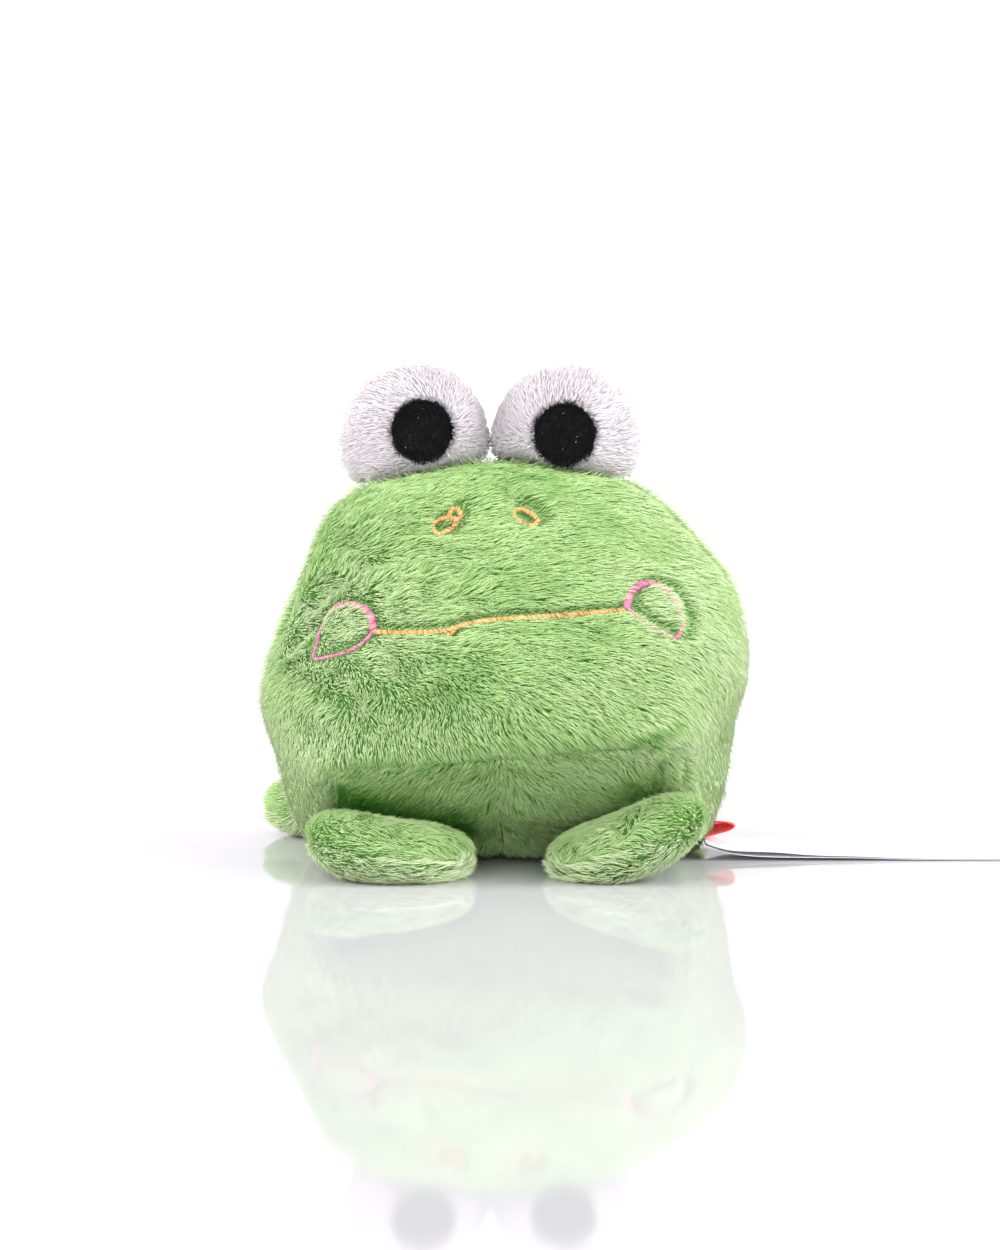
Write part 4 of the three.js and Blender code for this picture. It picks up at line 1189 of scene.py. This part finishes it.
for number, name in enumerate(FOOT_NAMES):
    low, high = (np.array(corner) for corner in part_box(name + "_sole_cover"))
    heel = np.array(((low[0] + high[0]) / 2, high[1] if "front" in name else low[1], 6 * MM))
    inwards = np.array((-0.9 * side_of(name), 0, 0)) * ("front" in name)

    def from_the_heel(roots, heel=heel, inwards=inwards):
        return unit(roots - heel) + inwards

    # Painted light: a little on the upper covers and much on the soles.
    pad_pile(name, name + "_upper_cover", "green_plush", 9.5 * PER_SQUARE_MM, 2.7 * MM, 56,
             from_the_heel, (0.3, 6 * MM, 42), 70 + 4 * number, painted_light=0.06, comb=0.55, tuft=2)
    pad_pile(name, name + "_sole_cover", "green_plush", 8.5 * PER_SQUARE_MM, 3.4 * MM, 55,
             from_the_heel, (0.3, 6 * MM, 42), 72 + 4 * number, painted_light=0.5, comb=0.8, draw=0.25, lock=2 * MM)

# %% [markdown]
# ## One satin stitch
# Satin stitch is a row of short threads laid side by side across a line. One thread is modelled from a
# small sphere, drawn out and arched over the pile, and then copied along each line. The tones of the
# copies vary a little, as the light on real threads does.

# %% The stitch
STITCH_ARCH = 1.2
bpy.ops.object.select_all(action="DESELECT")
bpy.ops.mesh.primitive_uv_sphere_add(segments=6, ring_count=6, radius=0.5)
stitch = bpy.context.view_layer.objects.active
in_edit_mode(stitch, (bpy.ops.transform.rotate, {
    "value": math.pi / 2, "orient_axis": "X", "center_override": (0, 0, 0)}))
bent = points_of(stitch)
bent = np.stack([bent[:, 0], bent[:, 2] - STITCH_ARCH * bent[:, 1] ** 2, bent[:, 1]], axis=1)
set_points(stitch, bent)
STITCH = template_of(stitch)
print("a stitch has", len(STITCH[1]), "faces")


def lay_stitches(name, places, outward, along, wide, seed, thick=0.2 * MM, slant=24, light=0.5):
    """Threads laid across a line. Wide is the length of each thread, and thick how thick it is."""
    rng = np.random.default_rng(seed)
    count = len(places)
    places = places + outward * rng.normal(0, 0.05 * MM, (count, 1))
    across = unit(np.cross(along, outward))
    swing = np.radians(rng.normal(slant, 7, count))[:, None]
    across = across * np.cos(swing) + unit(along) * np.sin(swing)
    beside = unit(np.cross(outward, across))
    shape = STITCH[0]
    length = (wide * rng.uniform(0.92, 1.08, count))[:, None, None]
    placed = (places[:, None] + thick * shape[None, :, :1] * beside[:, None]
              + thick * shape[None, :, 1:2] * outward[:, None]
              + length * shape[None, :, 2:] * across[:, None])
    # Painted highlights: the stitches' tones vary as the light on real threads does.
    tones = np.clip(light + 0.5 * light * rng.normal(size=count), 0, 1)
    return lay_copies(name, STITCH, placed, tones)


# %% [markdown]
# ## Sewing the face
# The lines of thread lie in the pile, near the top of it, and pull it down beside them. They are lifted
# along the sight lines, so that they stay where the photo shows them. Each line's copies stand for the
# plain cord of its CAD node.

# %% Mouth, cheeks and nostrils
THREAD_LIFT = 1.05 * MM

for number, (name, routes) in enumerate(thread_routes.items()):
    rows = []
    for part, ((places, outward), wide) in enumerate(routes):
        along = np.gradient(places, axis=0)
        to_camera = unit(np.array(CAMERA_PLACE) - places)
        facing = np.maximum((to_camera * outward).sum(1, keepdims=True), 0.5)
        lifted = places + to_camera * THREAD_LIFT / facing
        rows.append(lay_stitches(name, lifted, outward, along, wide, 90 + 5 * number + part))
    thread, slot = (pink_thread, "pink_thread") if "cheek" in name else (gold_thread, "gold_thread")
    dress(joined(name + "_threads", rows), thread, "frog_body", name + "_stitching")

# %% [markdown]
# ## Pupils
# A pupil is filled with short black stitches laid side by side over a domed patch, and it frays a little
# at the rim. The patch is the CAD one, smoothed and set down into the pile. The stitches stand in rows, and
# each row starts half a stitch off its neighbour, as a machine fills a shape.

# %% Pupil patches
EYE_YAWS = {"left_eye": 6, "right_eye": -6}
PUPIL_SINK = 0.7 * MM
PUPIL_RADIUS = 5.05 * MM
PUPIL_PITCH, PUPIL_STITCH = 0.22 * MM, 1.2 * MM
PUPIL_COLUMNS, PUPIL_ROWS = 24, 5                           # to each side of the middle
FUZZ_COUNT, FRAY_COUNT, GLINT_COUNT = 2000, 420, 5
FUZZ_LENGTH, FRAY_LENGTH = 0.6 * MM, 0.95 * MM
FUZZ_LEAN, FRAY_LEAN = 50.0, 56.0


def laid_on(tree, places, forward):
    """Places moved onto a surface along the way it faces, and the ways out of it there."""
    hits = [tree.ray_cast(Vector(place + forward * 8 * MM), Vector(-forward)) for place in places]
    found = [(np.array(hit[0]), np.array(hit[1])) for hit in hits if hit[0] is not None]
    return np.array([place for place, _ in found]), np.array([normal for _, normal in found])


def pupil_spots(middle, right, up, rng):
    """The middles of the stitches that fill a pupil with a slightly uneven edge."""
    uneven = rng.uniform(0, 2 * math.pi, 3)
    spots = []
    for column in range(-PUPIL_COLUMNS, PUPIL_COLUMNS + 1):
        for row in range(-PUPIL_ROWS, PUPIL_ROWS + 1):
            u = column * PUPIL_PITCH
            v = (row + 0.5 * (column % 2)) * PUPIL_STITCH * 0.9 + rng.normal(0, 0.12 * MM)
            turn = math.atan2(v, u)
            edge = 1 + sum(0.018 * math.sin((2 + 2 * i) * turn + uneven[i]) for i in range(3))
            if math.hypot(u, v) < (PUPIL_RADIUS - 0.2 * MM) * edge + rng.normal(0, 0.32 * MM):
                spots.append(middle + right * u + up * v)
    return spots


def pupil_fuzz(name, places, middle, forward, right, up, tree, rng, seed):
    """Short loose threads all over a pupil, a few of them painted glints, and longer ones that fray from its
    rim.
    """
    fuzz = places[rng.choice(len(places), FUZZ_COUNT)]
    fuzz = fuzz + right * rng.normal(0, 0.3 * MM, (FUZZ_COUNT, 1))
    fuzz = fuzz + up * rng.normal(0, 0.4 * MM, (FUZZ_COUNT, 1))
    turns = rng.uniform(0, 2 * math.pi, FRAY_COUNT)[:, None]
    from_middle = PUPIL_RADIUS - rng.uniform(0.2, 0.7, (FRAY_COUNT, 1)) * MM
    fray, _ = laid_on(tree, middle + from_middle * (right * np.cos(turns) + up * np.sin(turns)), forward)
    loose = rng.normal(0, 1, (FUZZ_COUNT, 3))
    frayed = unit(fray - middle) + rng.normal(0, 0.25, (len(fray), 3))
    roots = np.vstack([fuzz, fray])
    tones = np.full(len(roots), 0.12)
    # Painted glints: a few loose threads get the lightest tone of the black thread.
    tones[rng.choice(FUZZ_COUNT, GLINT_COUNT, replace=False)] = 1
    is_fray = np.arange(len(roots)) >= FUZZ_COUNT
    return grow(name, roots, np.tile(forward, (len(roots), 1)), np.vstack([loose, frayed]),
                np.where(is_fray, FRAY_LENGTH, FUZZ_LENGTH), tones, seed, width=0.075 * MM,
                lean=np.where(is_fray, FRAY_LEAN, FUZZ_LEAN), draw=0.1, drift=0)


for number, name in enumerate(EYE_NAMES):
    node = name.replace("_eye", "_pupil_patch")
    patch = modified(solid_copy(node + "_ground", node), "SUBSURF", levels=2, render_levels=2)
    yaw = math.radians(EYE_YAWS[name])
    forward = np.array((math.sin(yaw), -math.cos(yaw), 0))
    right = np.array((math.cos(yaw), math.sin(yaw), 0))
    up = np.array((0, 0, 1))
    set_points(patch, points_of(patch) - forward * PUPIL_SINK - up * PUPIL_DROP[name])
    patch_tree = surface_tree(patch)
    middle = points_of(patch).mean(0)
    narrower = points_of(patch) - middle
    narrower -= 0.05 * (narrower - forward * (narrower @ forward)[:, None])
    set_points(patch, middle + narrower)
    rng = np.random.default_rng(120 + number)
    places, outward = laid_on(patch_tree, pupil_spots(middle, right, up, rng), forward)
    along = np.tile(right, (len(places), 1)) + rng.normal(0, 0.15, (len(places), 3))
    threads = lay_stitches(name + "_pupil_threads", places, outward, along, PUPIL_STITCH, 124 + number,
                           thick=0.25 * MM, slant=6, light=0.13)
    fuzz = pupil_fuzz(name + "_pupil_fuzz", places, middle, forward, right, up, patch_tree, rng, 126 + number)
    dress(patch, black_thread, name, node)
    dress(threads, black_thread, name)
    dress(fuzz, black_thread, name)
    print(name, "pupil stitches:", len(places))

# %% [markdown]
# ## The loop tag
# A short red ribbon folded back on itself is caught in the flank seam. It is one strip that follows the
# loop, tilted and pressed together at its back edge, and its ends vanish into the seam.

# %% Loop tag
def strip(name, line, width, middle, thickness, shape):
    """A ribbon along a line of (x, z) points, so wide along y about its middle, and the line's length."""
    bpy.ops.object.select_all(action="DESELECT")
    bpy.ops.mesh.primitive_grid_add(x_subdivisions=len(line) - 1, y_subdivisions=10, size=1)
    made = bpy.context.view_layer.objects.active
    made.name = name
    grid = points_of(made)
    run = run_of(line)
    at = (grid[:, 0] + 0.5) * run[-1]
    seen_along = read_at(at, run, line)
    points = np.stack([seen_along[:, 0], middle + grid[:, 1] * width, seen_along[:, 1]], axis=1)
    set_points(made, shape(points, at / run[-1], grid[:, 1]))
    modified(made, "SOLIDIFY", thickness=thickness, offset=0)
    modified(made, "SUBSURF", levels=1, render_levels=1)
    return made, run[-1]


def smooth_line(marks, count):
    """Evenly spaced points along a smooth line through marks."""
    fine = np.array([*spline(marks, 20), marks[-1]])
    run = run_of(fine)
    return read_at(np.linspace(0, run[-1], count), run, fine)


TAG_WIDTH = 10 * MM
TAG_SAG = 0.2 * MM
TAG_TILT = 0.5 * MM             # how much lower its back edge lies than its front one
TAG_PRESSED = 0.85              # how much of the loop's height is gone there
TAG_OUTLINE = [(-6.2, 0.5), (-4.6, 0.85), (-2.8, 1.0), (-1.3, 0.85), (-0.3, 0.45), (-0.25, 0.05),
               (-1.2, -0.45), (-2.8, -0.9), (-4.4, -1.3), (-6.2, -1.45)]
tag_low, tag_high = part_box("loop_tag")
tag_tip = tag_high.x - 0.2 * MM
tag_z = (tag_low.z + tag_high.z) / 2 - TAG_SAG
tag_marks = [(tag_tip + out * MM, tag_z + up * MM) for out, up in TAG_OUTLINE]


def tag_twist(points, along, across):
    back = across + 0.5
    points[:, 2] = mix(points[:, 2], tag_z, TAG_PRESSED * back) - TAG_TILT * back
    points[:, 0] -= 0.4 * MM * np.abs(across * 2) ** 3 * np.sin(math.pi * along)
    return points


tag_line = smooth_line(tag_marks, 45)
tag, tag_length = strip("loop_tag_ribbon", tag_line, TAG_WIDTH, 4.5 * MM, 0.32 * MM, tag_twist)
dress(tag, red_ribbon, "frog_body", "loop_tag")

# %% [markdown]
# ## The care labels
# Two leaves of white satin, blank on both sides, leave the seam below the tag and sink to the floor. The
# upper leaf rides on the lower one and lifts away from it in a soft wave near the seam.

# %% Care labels
LABEL_WIDTH, LABEL_LENGTH = 15 * MM, 60 * MM
LABELS = {                      # each leaf's wave, what it lies on, and marks along it in millimetres
    "care_label_lower": (0.25 * MM, "floor", [
        (0.9, 2.5), (2.5, 1.9), (5, 1.2), (9, 0.8), (13, 0.65), (18, 0.55), (25, 0.4), (36, 0.2),
        (48, 0.12), (59.8, 0.12)]),
    "care_label_upper": (0.4 * MM, "care_label_lower_satin", [
        (0.9, 2.85), (2.5, 2.3), (5, 1.75), (9, 1.6), (13, 1.45), (18, 1.0), (25, 0.65), (36, 0.4),
        (48, 0.32), (59.8, 0.32)]),
}


def label_wave(size):
    def shape(points, along, across):
        lift = np.sin(2 * math.pi * along * 1.3 + 0.4) * across * size * np.sin(math.pi * along) ** 0.5
        points[:, 2] += np.maximum(lift * (1 - step(along, 0.35, 0.55)), -0.12 * MM)
        return points
    return shape


for node, (wave, under, marks) in LABELS.items():
    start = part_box(node)[0].x - 0.8 * MM
    line = smooth_line([(start + out * MM, up * MM) for out, up in marks], 70)
    label, _ = strip(node + "_satin", line, LABEL_WIDTH, 2.7 * MM, 0.16 * MM, label_wave(wave))
    dress(label, white_satin, "care_labels", node)

# %% [markdown]
# ## Clearing the bench
# The skins and the open sheets have done their work: the panels and the pile stand for them.

# %% Remove the helpers
for obj in [body_skin, *(skin for skin, _, _ in pad_skins.values()), *sheets.values()]:
    bpy.data.objects.remove(obj)

# %% [markdown]
# ## Studio
# The frog sits on a pale glossy sheet that runs back and curves up behind it, so that no edge shows. The
# light is soft: panels on both sides, a key from the right and above, a weaker fill from the left, a wide
# one overhead, two in front that reach below the chin, and a sky that is a little paler above.

# %% Floor and light
FLOOR_SIZE, WALL_HEIGHT, WALL_BEND = 3, 1.8, 0.7
bpy.ops.object.select_all(action="DESELECT")
bpy.ops.mesh.primitive_plane_add(size=FLOOR_SIZE, location=(0, 0, 0))
floor = bpy.context.view_layer.objects.active
floor.name = "floor"


def edit_back_edge(operator, **settings):
    """Runs an operator on the edge of the floor behind the frog, where the wall stands."""
    bpy.ops.object.mode_set(mode="EDIT")
    bpy.ops.mesh.select_all(action="DESELECT")
    bpy.ops.mesh.select_mode(type="EDGE")
    bpy.ops.object.mode_set(mode="OBJECT")
    for edge in floor.data.edges:
        edge.select = all(floor.data.vertices[i].co.y > 1 and floor.data.vertices[i].co.z < 0.1
                          for i in edge.vertices)
    bpy.ops.object.mode_set(mode="EDIT")
    operator(**settings)
    bpy.ops.object.mode_set(mode="OBJECT")


edit_back_edge(bpy.ops.mesh.extrude_region_move, TRANSFORM_OT_translate={"value": (0, 0, WALL_HEIGHT)})
edit_back_edge(bpy.ops.mesh.bevel, offset=WALL_BEND, segments=16)
bpy.ops.object.shade_smooth()
floor_material, wire, shader = new_material("glossy pale sheet")
glow = wire.node("MapRange", {"interpolation_type": "SMOOTHSTEP"}, {
    "Value": wire.height_of("Object", "Y"), "From Min": 0.25, "From Max": 0.9})
pale = wire.blend_colors(wire.noise(6), color(203, 202, 206), color(207, 207, 209))
plug(shader, Base_Color=pale, Roughness=0.6, Specular_IOR_Level=0.0)
plug(shader, Emission_Color=wire.blend_colors(glow, (0, 0, 0, 1), (1, 1, 1, 1)), Emission_Strength=0.75)
blend_shaders(floor_material, wire, "BsdfGlossy", 0.36, {"Color": (0.98, 0.94, 1, 1), "Roughness": 0.05})
floor.data.materials.append(floor_material)

LAMPS = [                       # name, place, what it is aimed at, size in metres, power in watts
    ("key", (0.75, -0.6, 0.8), (0, 0, 0.03), 0.7, 3.5),
    ("overhead", (0, 0.1, 1.0), (0, 0, 0.03), 0.9, 0.3),
    ("front", (-0.1, -1.2, 0.22), (0, 0, 0.02), 0.8, 4.2),
    ("low", (0.1, -0.9, 0.04), (0, 0, 0.015), 0.4, 1.1),
    ("fill", (-0.6, -0.6, 0.8), (0, 0, 0.03), 0.6, 3.1),
    ("right side", (1.0, -0.1, 0.45), (0, 0, 0.03), 0.5, 9.8),
    ("left side", (-1.0, 0.0, 0.45), (0, 0, 0.03), 0.5, 8.6),
]
for name, place, aim, size, power in LAMPS:
    lamp = new_object(name, bpy.data.lights.new(name, "AREA"))
    lamp.data.shape = "DISK"
    lamp.data.size = size
    lamp.data.energy = power
    lamp.location = place
    lamp.rotation_euler = (Vector(aim) - Vector(place)).to_track_quat("-Z", "Y").to_euler()

SKY_TOP, SKY_LOW = 0.95, 0.5
world = bpy.data.worlds.new("studio")
bpy.context.scene.world = world
world.use_nodes = True
sky = Wire(world.node_tree)
rise = sky.node("MapRange", {}, {"Value": sky.height_of("Generated", "Z"), "From Min": 0.0, "From Max": 1.0,
                                 "To Min": SKY_LOW, "To Max": SKY_TOP})
plug(world.node_tree.nodes["Background"].inputs, Color=(1, 1, 1, 1), Strength=rise)
bpy.context.scene.view_settings.view_transform = "Standard"
